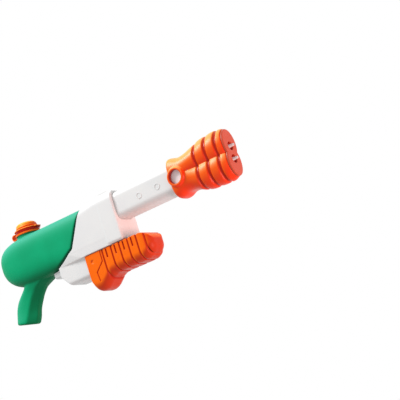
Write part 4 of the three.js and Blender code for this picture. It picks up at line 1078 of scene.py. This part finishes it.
# %% Nozzle shroud
NOZZLE_REAR = 150.0
NOZZLE_FRONT = 277.0
NOZZLE_MID = 42.0
NOZZLE_HALF = 50.0  # half its height at the front
FACE_PLANE = 281.5
GROOVES = np.array([213.5, 238.0, 262.0])
GROOVE_LEAN = 3.0  # how far each groove leans forward at the top and back at the bottom
GROOVE_WIDTH = 4.2
GROOVE_DEPTH = 2.8
SWELL = 1.1
HOLLOW_DEPTH = 4.3  # from the skin to the hollow inside
WINDOW_RIM = 4.8
WINDOW_FACE = 35.2
SPIGOT = 6.0
JET_SPACING = 25.4
JET_RADIUS = 4.0
JET_BORE = 1.2
JET_TIP = 289.0
JET_RECESS = 8.5
JET_RECESS_DEPTH = 4.6
NOZZLE_ROWS = [
    (NOZZLE_REAR, 79.6, 0.6, 30.4, 0),
    (NOZZLE_REAR + 4, 80.4, -1, 31, 0),
    (NOZZLE_REAR + 11, 79, -0.8, 31.2, 0),
    (NOZZLE_REAR + 24, 75.6, 4.2, 31, 0.05),
    (NOZZLE_REAR + 40, 78.6, 3.2, 30, 0.55),
    (NOZZLE_REAR + 56, 84.6, -3.4, 28.8, 0.95),
    (NOZZLE_REAR + 70, 88.6, -6.2, 28, 1),
    (NOZZLE_REAR + 94, 91.8, -8, 26.6, 1),
    (NOZZLE_REAR + 116, 92.2, -8.4, 25.2, 1),
    (NOZZLE_FRONT, 89.6, -5.8, 23.4, 1),
]  # place along X, top, bottom, half width, and how far the section has become two lobes
LOBE_ANGLES = np.linspace(0, 2 * math.pi, 144, endpoint=False) - math.pi / 2
LOBE_MIDDLE = 0.375  # share of the half height at which each lobe is widest
NOZZLE_SCREW = 14.0  # length


def lobed_rings(x, sink, place=None):
    """Sections of the nozzle at x, all drawn in by `sink`; `place` says where along X each ring sits.
    With t from -1 at the bottom to 1 at the top, the squarish width is (1 - |t|^3)^(1/3), the lobed width is
    a half circle about |t| = LOBE_MIDDLE, and the row's last value blends from the first to the second."""
    x = np.asarray(x, float)
    top, low, half, lobed = (v[:, None] for v in through(NOZZLE_ROWS, x).T)
    sink = sink if np.ndim(sink) == 2 else column(sink, len(x))
    t = np.sin(LOBE_ANGLES)
    squarish = np.clip(1 - np.abs(t) ** 3, 0, 1) ** (1 / 3)
    lobes = np.sqrt(np.clip(1 - ((np.abs(t) - LOBE_MIDDLE) / (1 - LOBE_MIDDLE)) ** 2, 0, 1))
    width = (half - sink) * (squarish + (lobes - squarish) * lobed)
    y = width * np.sign(np.round(np.cos(LOBE_ANGLES), 6))
    z = (low + top) / 2 + ((top - low) / 2 - sink) * t
    along = (x if place is None else np.asarray(place, float))[:, None]
    return np.stack([np.broadcast_to(along, y.shape), y, z], axis=-1)


def nozzle_painted_shade(finish):
    """Where shade is painted into the nozzle's colour: along the leaning grooves and on the window's wall."""
    x, y, z = finish.drawing()
    upright = x - (z - NOZZLE_MID) * (GROOVE_LEAN / NOZZLE_HALF)
    grooves = finish.lines(upright, GROOVES.tolist(), 1.0, GROOVE_WIDTH)
    return grooves.maths("MAXIMUM", in_window(finish, x, z, 0.2))


# Painted shade on faces that look down or forward, a painted highlight on faces that look up, and painted
# shade in the grooves and on the window's wall.
CORAL = plastic(
    "orange_nozzle_plastic", (236, 92, 8), (232, 86, 6), 0.3, FINE, mirror=0.22,
    under=(228, 56, 8), over=(250, 172, 92), painted_light_colour=(184, 30, 3), painted_light_share=nozzle_painted_shade,
)


def nozzle_sink(x):
    """How far the skin is drawn in at each ring and angle: leaning ring grooves with sloping sides,
    bands that swell between them, and rounded ends."""
    along = (x[:, None] - GROOVE_LEAN * np.sin(LOBE_ANGLES))[..., None]
    away = np.abs(along - GROOVES)
    grooves = GROOVE_DEPTH * np.clip((GROOVE_WIDTH - away) / (GROOVE_WIDTH / 2), 0, 1).max(axis=-1)
    edges = np.concatenate([GROOVES, [NOZZLE_FRONT]])
    share = np.clip((along - edges[:-1]) / np.diff(edges), 0, 1)
    swell = SWELL * np.sin(math.pi * share).max(axis=-1)
    rear = 1.6 * np.clip(1 - (x - NOZZLE_REAR) / 2, 0, 1) ** 2
    front = 1.2 * np.clip(1 - (NOZZLE_FRONT - x) / 2, 0, 1) ** 2
    return grooves - swell + (rear + front)[:, None]


nozzle_x = np.linspace(NOZZLE_REAR, NOZZLE_FRONT, 200)
hollow_x = np.array([
    NOZZLE_REAR + 2 * WALL, NOZZLE_REAR + 24, NOZZLE_REAR + 44, GROOVES[0], GROOVES[2], NOZZLE_FRONT,
])
hollow_place = hollow_x + np.array([0, 0, 0, 0, 0, 1])
shroud = cut(
    skin(lobed_rings(nozzle_x, nozzle_sink(nozzle_x))),
    skin(lobed_rings(hollow_x, HOLLOW_DEPTH, hollow_place)),
)
rim_outer = WINDOW_RADIUS + WINDOW_RIM
rim_low = BARREL_WIDTH / 2 + 2 * FIT
for side in (-1, 1):
    rim = np.array([
        (rim_low, WINDOW_RADIUS - 2),
        (rim_low, rim_outer + 1.6),
        (WINDOW_FACE - 3.4, rim_outer + 0.8),
        (WINDOW_FACE - 1.2, rim_outer),
        (WINDOW_FACE, rim_outer - 1.3),
        (WINDOW_FACE, WINDOW_RADIUS - 2),
    ])
    join(shroud, turned(rim * (side, 1), "y", (WINDOW[0], 0, WINDOW[1]), 72, True))
nozzle_seat = BARREL_WIDTH / 2 + FIT + 1.6
join(shroud, *[
    rod("y", BOSS, BARREL_WIDTH / 2 + FIT, BARREL_WIDTH / 2 + 4, (x, 0, z)) for x, z in NOZZLE_SCREWS
])
cut(
    shroud,
    barrel_bar(FIT, NOZZLE_REAR - 10, BARREL_FRONT + 3),
    rod("y", WINDOW_RADIUS, -BODY_WIDTH, BODY_WIDTH, (WINDOW[0], 0, WINDOW[1]), 72),
    *[screw_hole(spot, nozzle_seat, NOZZLE_SCREW) for spot in NOZZLE_SCREWS],
)
soften(shroud, 0.95, 2)
fit_out(shroud, "nozzle_horn", "body", "nozzle_shroud", CORAL)

# %% [markdown]
# The nozzle's front is a flat plate in the same two-lobed outline, pushed into the shroud. A round recess
# surrounds each white jet tip, and its wall shows as a dark crescent beside the tip, which painted shade in
# the recess darkens.

# %% Nozzle face and jet tips
JET_HEIGHTS = {"upper": NOZZLE_MID + JET_SPACING / 2, "lower": NOZZLE_MID - JET_SPACING / 2}


def face_recess_shade(finish):
    """Where shade is painted into the face's colour: in the two recesses, below the plane of the face."""
    x, y, z = finish.drawing()
    jet = abs(z - NOZZLE_MID) - JET_SPACING / 2
    away = (y * y + jet * jet).maths("SQRT")
    inside = 1.0 - finish.step(away, JET_RECESS - 1, JET_RECESS + 0.4)
    return inside * (1.0 - finish.step(x, FACE_PLANE - 1.8, FACE_PLANE - 0.8))


# The plate's orange is darker and pinker than the shroud's: painted shade and a painted pink reflection on
# the forward face, with painted shade in the recesses.
FACE_CORAL = plastic(
    "orange_face_plastic", (184, 78, 54), (180, 74, 50), 0.34, FINE, mirror=0.2,
    painted_light_colour=(150, 20, 4), painted_light_share=face_recess_shade,
)


def face_rings(place, sink):
    return lobed_rings(np.full(len(place), NOZZLE_FRONT), sink, place)


face = join(
    skin(face_rings(
        [NOZZLE_FRONT + FIT, FACE_PLANE - 1.4, FACE_PLANE - 0.4, FACE_PLANE],
        [0.7, 0.9, 1.4, 2.2],
    )),
    skin(face_rings([NOZZLE_FRONT - SPIGOT, NOZZLE_FRONT + 1], HOLLOW_DEPTH + 2 * FIT)),
)
for z in JET_HEIGHTS.values():
    cut(
        face,
        rod("x", JET_RADIUS + FIT, NOZZLE_FRONT - 10, FACE_PLANE + 5, (0, 0, z)),
        turned([
            (FACE_PLANE - JET_RECESS_DEPTH, 0),
            (FACE_PLANE - JET_RECESS_DEPTH, JET_RECESS - 1),
            (FACE_PLANE - 0.6, JET_RECESS),
            (FACE_PLANE + 5, JET_RECESS + 2),
            (FACE_PLANE + 5, 0),
        ], "x", (0, 0, z)),
    )
soften(face, 0.6, 2)
fit_out(face, "nozzle_plate", "body", "nozzle_face", FACE_CORAL)

JET_ROOT = NOZZLE_FRONT - SPIGOT - FIT - 12
for level, z in JET_HEIGHTS.items():
    tip = turned([
        (JET_ROOT, JET_BORE),
        (JET_ROOT, JET_RADIUS),
        (FACE_PLANE - JET_RECESS_DEPTH, JET_RADIUS),
        (FACE_PLANE - JET_RECESS_DEPTH + 1, JET_RADIUS - 0.9),
        (JET_TIP - 2.6, JET_RADIUS - 1.3),
        (JET_TIP - 0.5, JET_RADIUS - 1.6),
        (JET_TIP, JET_RADIUS - 2.1),
        (JET_TIP - 0.5, JET_BORE),
    ], "x", (0, 0, z), 48, True)
    shade(tip, 40)
    fit_out(tip, f"jet_nib_{level}", "body", f"jet_tip_{level}", WHITE)

# %% [markdown]
# The pump handle is two orange halves screwed together round the rail. Its side is nearly flat, the
# underside is one large round, a lobe at the rear keeps the hand from slipping off, and the nose is blunt.
# The ribs are saw-tooth cuts: a steep wall and then a long ramp, which is why a light strip follows each dark
# line; painted shade in the grooves, the slots and the step at the nose darkens these lines. Short slots, a
# folded line and a dimple complete the pattern on both sides.

# %% Pump handle
PUMP_REAR = -87.5
PUMP_NOSE = 69.0
PUMP_WALL = 2.7
PUMP_WIDTH = RAIL_WIDTH + 2 * (SLIDE + PUMP_WALL)
PUMP_LOW = -83.0
PUMP_LOBE = 22.0
PUMP_CORNER = 19.0
PUMP_EDGE = 1.6
PUMP_NOSE_LENGTH = 29.0
PUMP_NOSE_Z = -54.0
PUMP_GROOVES = [-44.0, -22.0, -1.5, 19.0, 40.0]
PUMP_GROOVE_DEPTH = 1.6
PUMP_RAMP = 5.0
SLOT_X = 9.6
SLOT_LENGTH = 17.0
SLOT_DROP = 3.0  # from the pump's top to a slot
SLOT_HALF = 1.4
FOLD_HALF = 1.3
MARK_DEPTH = 1.9
CLEAR = 3.0  # how far a cutting tool stands out of the side
NOSE_GROOVE = 56.0
NOSE_STEP = 1.3
NOSE_NOTCH = 2.0  # half width of the notch behind the step
NOSE_LINE_END = (-74.0, -66.0)  # heights over which the notch's painted shade fades out
GROOVE_LEAD = 1.4  # how far a groove's steep wall begins behind its place
GROOVE_RISE = 0.8
BULKHEAD_X = 52.0
BULKHEAD = 10.0
PIN_RADIUS = 2.0
PIN_LENGTH = 20.0
PUMP_BOSS = 4.2
LOBE_ROWS = [
    (0, 0.45), (3, 0.74), (8, 0.94), (15, 1), (22, 0.97), (29, 0.84),
    (36, 0.6), (44, 0.3), (53, 0.08), (66, 0), (90, 0),
]
PUMP_SCREWS = {
    "lobe": (PUMP_REAR + 20, PUMP_LOW - 3),
    "hollow": (PUMP_GROOVES[2] - 9, (RAIL_LOW + PUMP_LOW) / 2 + 0.4),
    "nose": (BULKHEAD_X, CYLINDER_Z - ROD_RADIUS - 17),
}
PUMP_SCREW_SINK = {"lobe": 0.0, "hollow": 6.0, "nose": 4.5}  # the side is round where two of them are
PUMP_SEATS = {name: seat_in(PUMP_WIDTH) - sink for name, sink in PUMP_SCREW_SINK.items()}


def pump_painted_shade(finish):
    """Where shade is painted into the pump's colour: in the grooves, the slots, and the step at the nose."""
    x, y, z = finish.drawing()
    grooves = finish.lines(x, PUMP_GROOVES, 0.5, 2.2)
    slots = finish.lines(x, [g + SLOT_X for g in PUMP_GROOVES[:-1]], 0.8, 1.8)
    slot_low = PUMP_TOP - SLOT_DROP - SLOT_LENGTH
    slots = slots * finish.step(z, slot_low - 0.5, slot_low + 0.5)
    nose = finish.lines(x, [NOSE_GROOVE + NOSE_NOTCH], 0.6, 2.2) * finish.step(z, *NOSE_LINE_END)
    return grooves.maths("MAXIMUM", slots).maths("MAXIMUM", nose)


# Painted shade on faces that look down or forward, and painted shade in the grooves, slots and nose step.
ORANGE = plastic(
    "orange_pump_plastic", (241, 105, 4), (238, 100, 3), 0.34, FINE, mirror=0.12,
    under=(192, 54, 20), painted_light_colour=(174, 35, 3), painted_light_share=pump_painted_shade,
)


def pump_sink(x):
    """How far the skin is drawn in along X: grooves with a steep rear and a long ramp, and a step with a
    notch at the nose."""
    past = x[:, None] - np.array(PUMP_GROOVES)
    wall = np.clip((past + GROOVE_LEAD) / GROOVE_RISE, 0, 1)
    ramp = np.clip(1 - (past - GROOVE_RISE) / PUMP_RAMP, 0, 1)
    ribs = PUMP_GROOVE_DEPTH * (np.minimum(wall, ramp) ** 1.5).max(axis=1)
    step = NOSE_STEP * np.clip((x - NOSE_GROOVE) / GROOVE_RISE, 0, 1)
    notch = NOSE_STEP * np.clip(1 - np.abs(x - NOSE_GROOVE - NOSE_NOTCH) / NOSE_NOTCH, 0, 1)
    return ribs + step + notch


def pump_rings(x, inset, lift, groove):
    """Rounded sections along X. Past the nose's start, u runs from 0 to 1, and bottom, top and width close on
    superellipses of u. The lobe lowers the bottom, and `groove` is the share of the ribs' depth."""
    u = np.clip(1 - (PUMP_NOSE - x) / PUMP_NOSE_LENGTH, 0, 1)
    low = PUMP_LOW - PUMP_LOBE * through(LOBE_ROWS, x - PUMP_REAR)[:, 0]
    sink = groove * pump_sink(x) * closing(u, 2.0)
    low = PUMP_NOSE_Z - (PUMP_NOSE_Z - low) * closing(u, 2.0) + sink
    top = PUMP_NOSE_Z + (PUMP_TOP - PUMP_NOSE_Z) * closing(u, 2.4) - sink
    half = PUMP_WIDTH / 2 * closing(u, 3.4) - sink
    corner = np.minimum(np.minimum(PUMP_CORNER, half - 0.5), (top - low) / 2 - 0.5)
    edge = np.minimum(PUMP_EDGE, corner)
    return rounded_rings(
        x,
        half - inset,
        low + inset,
        top - lift,
        np.maximum(1, corner - inset),
        np.maximum(0.8, edge - inset / 2),
        14,
    )


def pump_rows(count):
    """Places along X for the rings, closer together where the nose closes."""
    start = PUMP_NOSE - PUMP_NOSE_LENGTH
    nose = start + PUMP_NOSE_LENGTH * np.sin(np.linspace(0, 0.88, count) * math.pi / 2)
    return np.concatenate([np.linspace(PUMP_REAR, start, 4 * count)[:-1], nose])


def pump_marks(side):
    """The cuts in one side: short slots, the folded line and the dimple."""
    face_y = PUMP_WIDTH / 2
    y0, y1 = sorted((side * (face_y - MARK_DEPTH), side * (face_y + CLEAR)))
    slot_top = PUMP_TOP - SLOT_DROP
    slots = [
        block(x - SLOT_HALF, x + SLOT_HALF, y0, y1, slot_top - SLOT_LENGTH, slot_top)
        for x in np.array(PUMP_GROOVES[:-1]) + SLOT_X
    ]
    first = PUMP_GROOVES[0]
    fold = np.array([
        (first - 4.7, PUMP_TOP + 2),
        (first - 4.7, PUMP_TOP - 22),
        (first - 24, PUMP_TOP - 39),
        (first - 22, PUMP_TOP - 58),
    ])
    line = prism(np.vstack([fold - (FOLD_HALF, 0), (fold + (FOLD_HALF, 0))[::-1]]), y0, y1)
    dimple = turned([
        (side * (face_y - 1.6), 0),
        (side * (face_y - 1.2), 2.2),
        (side * face_y, 4.4),
        (side * (face_y + CLEAR), 4.6),
        (side * (face_y + CLEAR), 0),
    ], "y", (PUMP_REAR + 15, 0, PUMP_TOP - 16))
    return [*slots, line, dimple]


def pump_form():
    """The whole handle: a hollow form with a bulkhead and bosses, open above, with lips for the rail."""
    inner_half = PUMP_WIDTH / 2 - PUMP_WALL
    rear_wall = PUMP_REAR + PUMP_WALL
    over = PUMP_TOP - LIP - 1
    form = skin(pump_rings(pump_rows(70), 0, 0, 1))
    outside = copy_of(form)
    cut(form, meet(
        skin(pump_rings(pump_rows(30), PUMP_WALL, LIP, 0)),
        block(rear_wall, PUMP_NOSE - PUMP_WALL, -FAR, FAR, -FAR, 0),
    ))
    works = join(
        block(BULKHEAD_X - BULKHEAD / 2, BULKHEAD_X + BULKHEAD / 2, -PUMP_WIDTH, PUMP_WIDTH, -FAR, 0),
        *[
            rod("y", PUMP_BOSS, -PUMP_WIDTH, PUMP_WIDTH, (PUMP_SCREWS[k][0], 0, PUMP_SCREWS[k][1]))
            for k in ("lobe", "hollow")
        ],
    )
    join(form, meet(works, outside))
    lip_inner = RAIL_WIDTH / 2 - LIP
    pin_half = PIN_LENGTH / 2 + FIT
    return cut(
        form,
        block(PUMP_REAR - 10, LIP_REAR, -inner_half, inner_half, over, 0),
        block(LIP_REAR - 1, LIP_FRONT, -lip_inner, lip_inner, over, 0),
        block(PUMP_REAR - 10, rear_wall + 10, -inner_half, inner_half, RAIL_LOW - SLIDE, 0),
        *pump_marks(-1),
        *pump_marks(1),
        rod("x", ROD_RADIUS + FIT, BULKHEAD_X - BULKHEAD, BULKHEAD_X + BULKHEAD / 2 + 1, (0, 0, CYLINDER_Z)),
        rod("z", PIN_RADIUS + FIT, CYLINDER_Z - pin_half, CYLINDER_Z + pin_half, (BULKHEAD_X, 0, 0), 24),
        *[screw_hole(spot, PUMP_SEATS[k], PUMP_SEATS[k] + SCREW_BITE) for k, spot in PUMP_SCREWS.items()],
    )


for side, half in zip(("right", "left"), split(pump_form(), 0.7, 2)):
    fit_out(half, f"pump_handle_{side}", "pump", f"pump_grip_{side}", ORANGE)

# %% [markdown]
# The filler cap is a turned form: a knob with a domed top, a wide flange, a waist under it with a thin apron
# that hides the gasket, and a hollow plug that goes into the neck. A thumb lip stands out at its front. It
# hangs on a soft strap, a ring round the neck with a loop at the rear that hangs a little lower.

# %% Filler cap and strap
CAP_RADIUS = 27.5
CAP_FLANGE = 6.0
CAP_KNOB = 21.5
CAP_WAIST = 24.6
CAP_APRON = 1.3  # thin rim under the waist that hides the gasket
CAP_TOP = 95.0
CAP_WALL = 3.0
CAP_PLUG_DEPTH = 5.0
CAP_SEAT = NECK_TOP + 1.2 + 2 * FIT
CAP_PLUG = NECK_BORE - 0.7
STRAP_HALF = 6.0
STRAP_THICKNESS = 2.2
STRAP_REACH = 40.0
LOOP_SAG = 2.4  # how far the loop hangs below the ring
LOOP_BEND = 6.2


def cap_waist(finish):
    """Where shade is painted into the cap's colour: under its flange."""
    x, y, z = finish.drawing()
    return 1.0 - finish.step(z, CAP_SEAT + CAP_FLANGE - 3.4, CAP_SEAT + CAP_FLANGE - 2.4)


# Painted shade on faces that look down or forward, a painted highlight on faces that look up, and painted
# shade under the flange.
AMBER = plastic(
    "orange_cap_plastic", (243, 130, 24), (239, 124, 22), 0.34, FINE, mirror=0.16,
    under=(226, 62, 8), over=(246, 176, 62), painted_light_colour=(186, 26, 4), painted_light_share=cap_waist,
)


def cap_profile():
    """Height and radius from the middle of the underside, round the outside, to the middle of the top."""
    shoulder = CAP_SEAT + CAP_FLANGE
    plug_low = NECK_TOP - CAP_PLUG_DEPTH
    turn = np.radians(np.linspace(0, 90, 9))
    dome = np.column_stack([
        CAP_TOP - 7.5 + 6.6 * np.sin(turn),
        CAP_KNOB - 9 + 9 * np.cos(turn),
    ])
    lower = [
        (CAP_TOP - CAP_WALL, 0),
        (CAP_TOP - 2 * CAP_WALL, CAP_KNOB - 2.5 * CAP_WALL),
        (shoulder, CAP_PLUG - CAP_WALL),
        (plug_low, CAP_PLUG - CAP_WALL),
        (plug_low, CAP_PLUG - 1),
        (plug_low + 2, CAP_PLUG),
        (CAP_SEAT, CAP_PLUG),
        (CAP_SEAT, CAP_WAIST - CAP_APRON),
        (NECK_TOP + FIT, CAP_WAIST - CAP_APRON),
        (NECK_TOP + FIT, CAP_WAIST),
        (shoulder - 2.8, CAP_WAIST),
        (shoulder - 2.4, CAP_RADIUS - 0.6),
        (shoulder - 1.5, CAP_RADIUS),
        (shoulder - 0.4, CAP_RADIUS - 0.7),
        (shoulder, CAP_RADIUS - 1.7),
        (shoulder, CAP_KNOB - 1.2),
        (shoulder + 1.8, CAP_KNOB - 1.2),
        (shoulder + 2.6, CAP_KNOB + 1),
        (shoulder + 4.2, CAP_KNOB + 0.9),
    ]
    return np.vstack([lower, dome, [(CAP_TOP, 0)]])


lip_rear = NECK_X + CAP_RADIUS - 4
lip_reach = NECK_X + CAP_RADIUS + 3
cap = join(
    turned(cap_profile(), "z", (NECK_X, 0, 0), 96),
    prism([
        (lip_rear, CAP_SEAT + 1.5),
        (lip_reach - 1, CAP_SEAT + 3),
        (lip_reach, CAP_SEAT + 4.6),
        (lip_reach - 2, CAP_SEAT + CAP_FLANGE),
        (lip_rear, CAP_SEAT + CAP_FLANGE),
    ], -8, 8),
)
soften(cap, 0.6, 3)
fit_out(cap, "cap_knob", "cap", "filler_cap", AMBER)

strap_inner = NECK_RADIUS + FIT
strap_outer = strap_inner + STRAP_THICKNESS
ring_top = NECK_TOP - 0.6
ring_low = ring_top - 3.4
loop_top = CAP_SEAT + CAP_FLANGE - 0.8
loop_rear = NECK_X - STRAP_REACH
loop_front = NECK_X - CAP_RADIUS - FIT


def loop_line(inset):
    """The side view of the loop, drawn in by `inset`: down and out from the ring, up, and to the cap."""
    low, high, rear = ring_low - LOOP_SAG + inset, loop_top - inset, loop_rear + inset
    turn = np.radians(np.linspace(0, 90, 9))
    radius = LOOP_BEND - inset
    bend = radius * np.column_stack([1 - np.sin(turn), 1 - np.cos(turn)])
    lower = np.column_stack([rear + bend[:, 0], low + bend[:, 1]])
    upper = np.column_stack([rear + bend[::-1, 0], high - bend[::-1, 1]])
    start = (NECK_X - strap_inner - 0.5, low + LOOP_SAG)
    return np.vstack([start, lower, upper, (loop_front, high)])


strap = join(
    turned([
        (ring_low, strap_inner), (ring_low, strap_outer), (ring_top, strap_outer), (ring_top, strap_inner),
    ], "z", (NECK_X, 0, 0), 96, True),
    prism(np.vstack([loop_line(0), loop_line(STRAP_THICKNESS)[::-1]]), -STRAP_HALF, STRAP_HALF),
)
soften(strap, 0.5, 2)
dress(strap, "cap_tether", TETHER)
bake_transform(strap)
stand_for(strap, "cap_strap")

# %% [markdown]
# All screw heads are on the left side. Each is a turned form with a domed head, a cross recess, and a shank
# whose thread is a row of ridges. One profile serves all, with its own length in each place.

# %% Screws
SCREW_PITCH = 1.2
THREAD_DEPTH = 0.35
CROSS_LONG = 1.9  # half length and half width of each slot of the cross
CROSS_WIDE = 0.45


def screw_form(spot, seat, length):
    """Turned about Y: a point, ridges of one pitch each, a neck under the head, and a domed head."""
    count = int((length - 4) / SCREW_PITCH)
    start = seat - length + 2
    crests = start + SCREW_PITCH * np.arange(count)
    ridges = np.column_stack([
        np.column_stack([crests, crests + SCREW_PITCH / 2]).ravel(),
        np.tile([SHANK, SHANK - THREAD_DEPTH], count),
    ])
    head = [
        (seat, SHANK),
        (seat, HEAD_RADIUS),
        (seat + 0.5 * HEAD_HEIGHT, HEAD_RADIUS),
        (seat + 0.8 * HEAD_HEIGHT, 0.82 * HEAD_RADIUS),
        (seat + HEAD_HEIGHT, 0.5 * HEAD_RADIUS),
        (seat + HEAD_HEIGHT, 0),
    ]
    profile = np.vstack([[(seat - length, 0)], ridges, head])
    x, z = spot
    form = turned(profile, "y", (x, 0, z), 28)
    floor = seat + 0.35 * HEAD_HEIGHT
    return cut(
        form,
        block(x - CROSS_LONG, x + CROSS_LONG, floor, seat + 5, z - CROSS_WIDE, z + CROSS_WIDE),
        block(x - CROSS_WIDE, x + CROSS_WIDE, floor, seat + 5, z - CROSS_LONG, z + CROSS_LONG),
    )


screws = [(f"body_screw_{k}", spot, seat_in(BODY_WIDTH), None, "body") for k, spot in BODY_SCREWS.items()]
screws += [
    ("body_screw_bridge", BRIDGE_SCREW, seat_in(RAIL_WIDTH), None, "body"),
    ("body_screw_rear", HEEL_SCREW, seat_in(HEEL_LUG_WIDTH), None, "body"),
    ("nozzle_screw_upper", NOZZLE_SCREWS[0], nozzle_seat, NOZZLE_SCREW, "body"),
    ("nozzle_screw_lower", NOZZLE_SCREWS[1], nozzle_seat, NOZZLE_SCREW, "body"),
]
screws += [(f"pump_screw_{k}", spot, PUMP_SEATS[k], None, "pump") for k, spot in PUMP_SCREWS.items()]
for node, spot, seat, length, body in screws:
    screw = shade(screw_form(spot, seat, length or seat + SCREW_BITE), 30)
    fit_out(screw, f"{node}_turned", body, node, STEEL)

# %% [markdown]
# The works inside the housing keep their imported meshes: cylinder, piston, valves, hoses, plugs and seals.
# They get the same finishes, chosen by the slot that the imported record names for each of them.

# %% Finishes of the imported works
SLOT_FINISH = {
    "green_plastic": GREEN,
    "white_plastic": WHITE,
    "orange_plastic": ORANGE,
    "clear_plastic": MILKY,
    "grey_plastic": GREY,
    "rubber": RUBBER,
    "steel": STEEL,
}
for subpart in frame["record"]["subparts"]:
    node = frame["nodes"][subpart["node"]]
    material = SLOT_FINISH[subpart["material_slot"]].material
    node.data.materials.clear()
    node.data.materials.append(material)

# %% [markdown]
# The photograph is a product picture on pure white. The world is white behind the object, as the camera sees
# it, and dimmer elsewhere, so forms keep some shading. A large soft lamp above adds the lighter tops, and a
# warm lamp ahead and below gives the pinkish tone that faces looking forward or down have in the picture.

# %% Light
BRIGHT_SIDE = (-0.49, 0.85, 0.21)  # behind the object as the camera sees it
BRIGHT_RANGE = (0.1, 0.7)
DIM = 0.66

world = bpy.data.worlds.new("white_room")
world.use_nodes = True
background = world.node_tree.nodes["Background"]
background.inputs["Color"].default_value = (1.0, 1.0, 1.0, 1.0)
room = world.node_tree
direction = room.nodes.new("ShaderNodeTexCoord")
facing = room.nodes.new("ShaderNodeVectorMath")
facing.operation = "DOT_PRODUCT"
facing.inputs[1].default_value = BRIGHT_SIDE
room.links.new(direction.outputs["Generated"], facing.inputs[0])
strength = room.nodes.new("ShaderNodeMapRange")
for key, value in zip(("From Min", "From Max", "To Min", "To Max"), (*BRIGHT_RANGE, DIM, 1.0)):
    strength.inputs[key].default_value = value
room.links.new(facing.outputs["Value"], strength.inputs["Value"])
room.links.new(strength.outputs["Result"], background.inputs["Strength"])
scene.world = world
scene.view_settings.view_transform = "Standard"


def lamp(name, place, target, size, power, colour=(1.0, 1.0, 1.0)):
    """A square soft lamp at a place in metres, turned to face a target."""
    data = bpy.data.lights.new(name, "AREA")
    data.shape = "SQUARE"
    data.size = size
    data.energy = power
    data.color = colour
    light = bpy.data.objects.new(name, data)
    away = np.array(place, float) - np.array(target, float)
    away /= np.linalg.norm(away)
    side = np.cross((0.0, 1.0, 0.0), away)
    side /= np.linalg.norm(side)
    matrix = np.eye(4)
    matrix[:3, 0] = side
    matrix[:3, 1] = np.cross(away, side)
    matrix[:3, 2] = away
    matrix[:3, 3] = place
    light.matrix_world = Matrix(matrix.tolist())
    scene.collection.objects.link(light)


lamp("soft_key", (-0.7, -1.0, 1.7), (0.0, 0.0, 0.1), 0.8, 40.0)
lamp("warm_fill", (1.65, 0.0, -0.5), (0.0, 0.0, 0.1), 0.8, 27.0, (1.0, 0.5, 0.44))

# %% [markdown]
# The last call brings the scene up to date.

# %% Bring the scene up to date
bpy.context.view_layer.update()
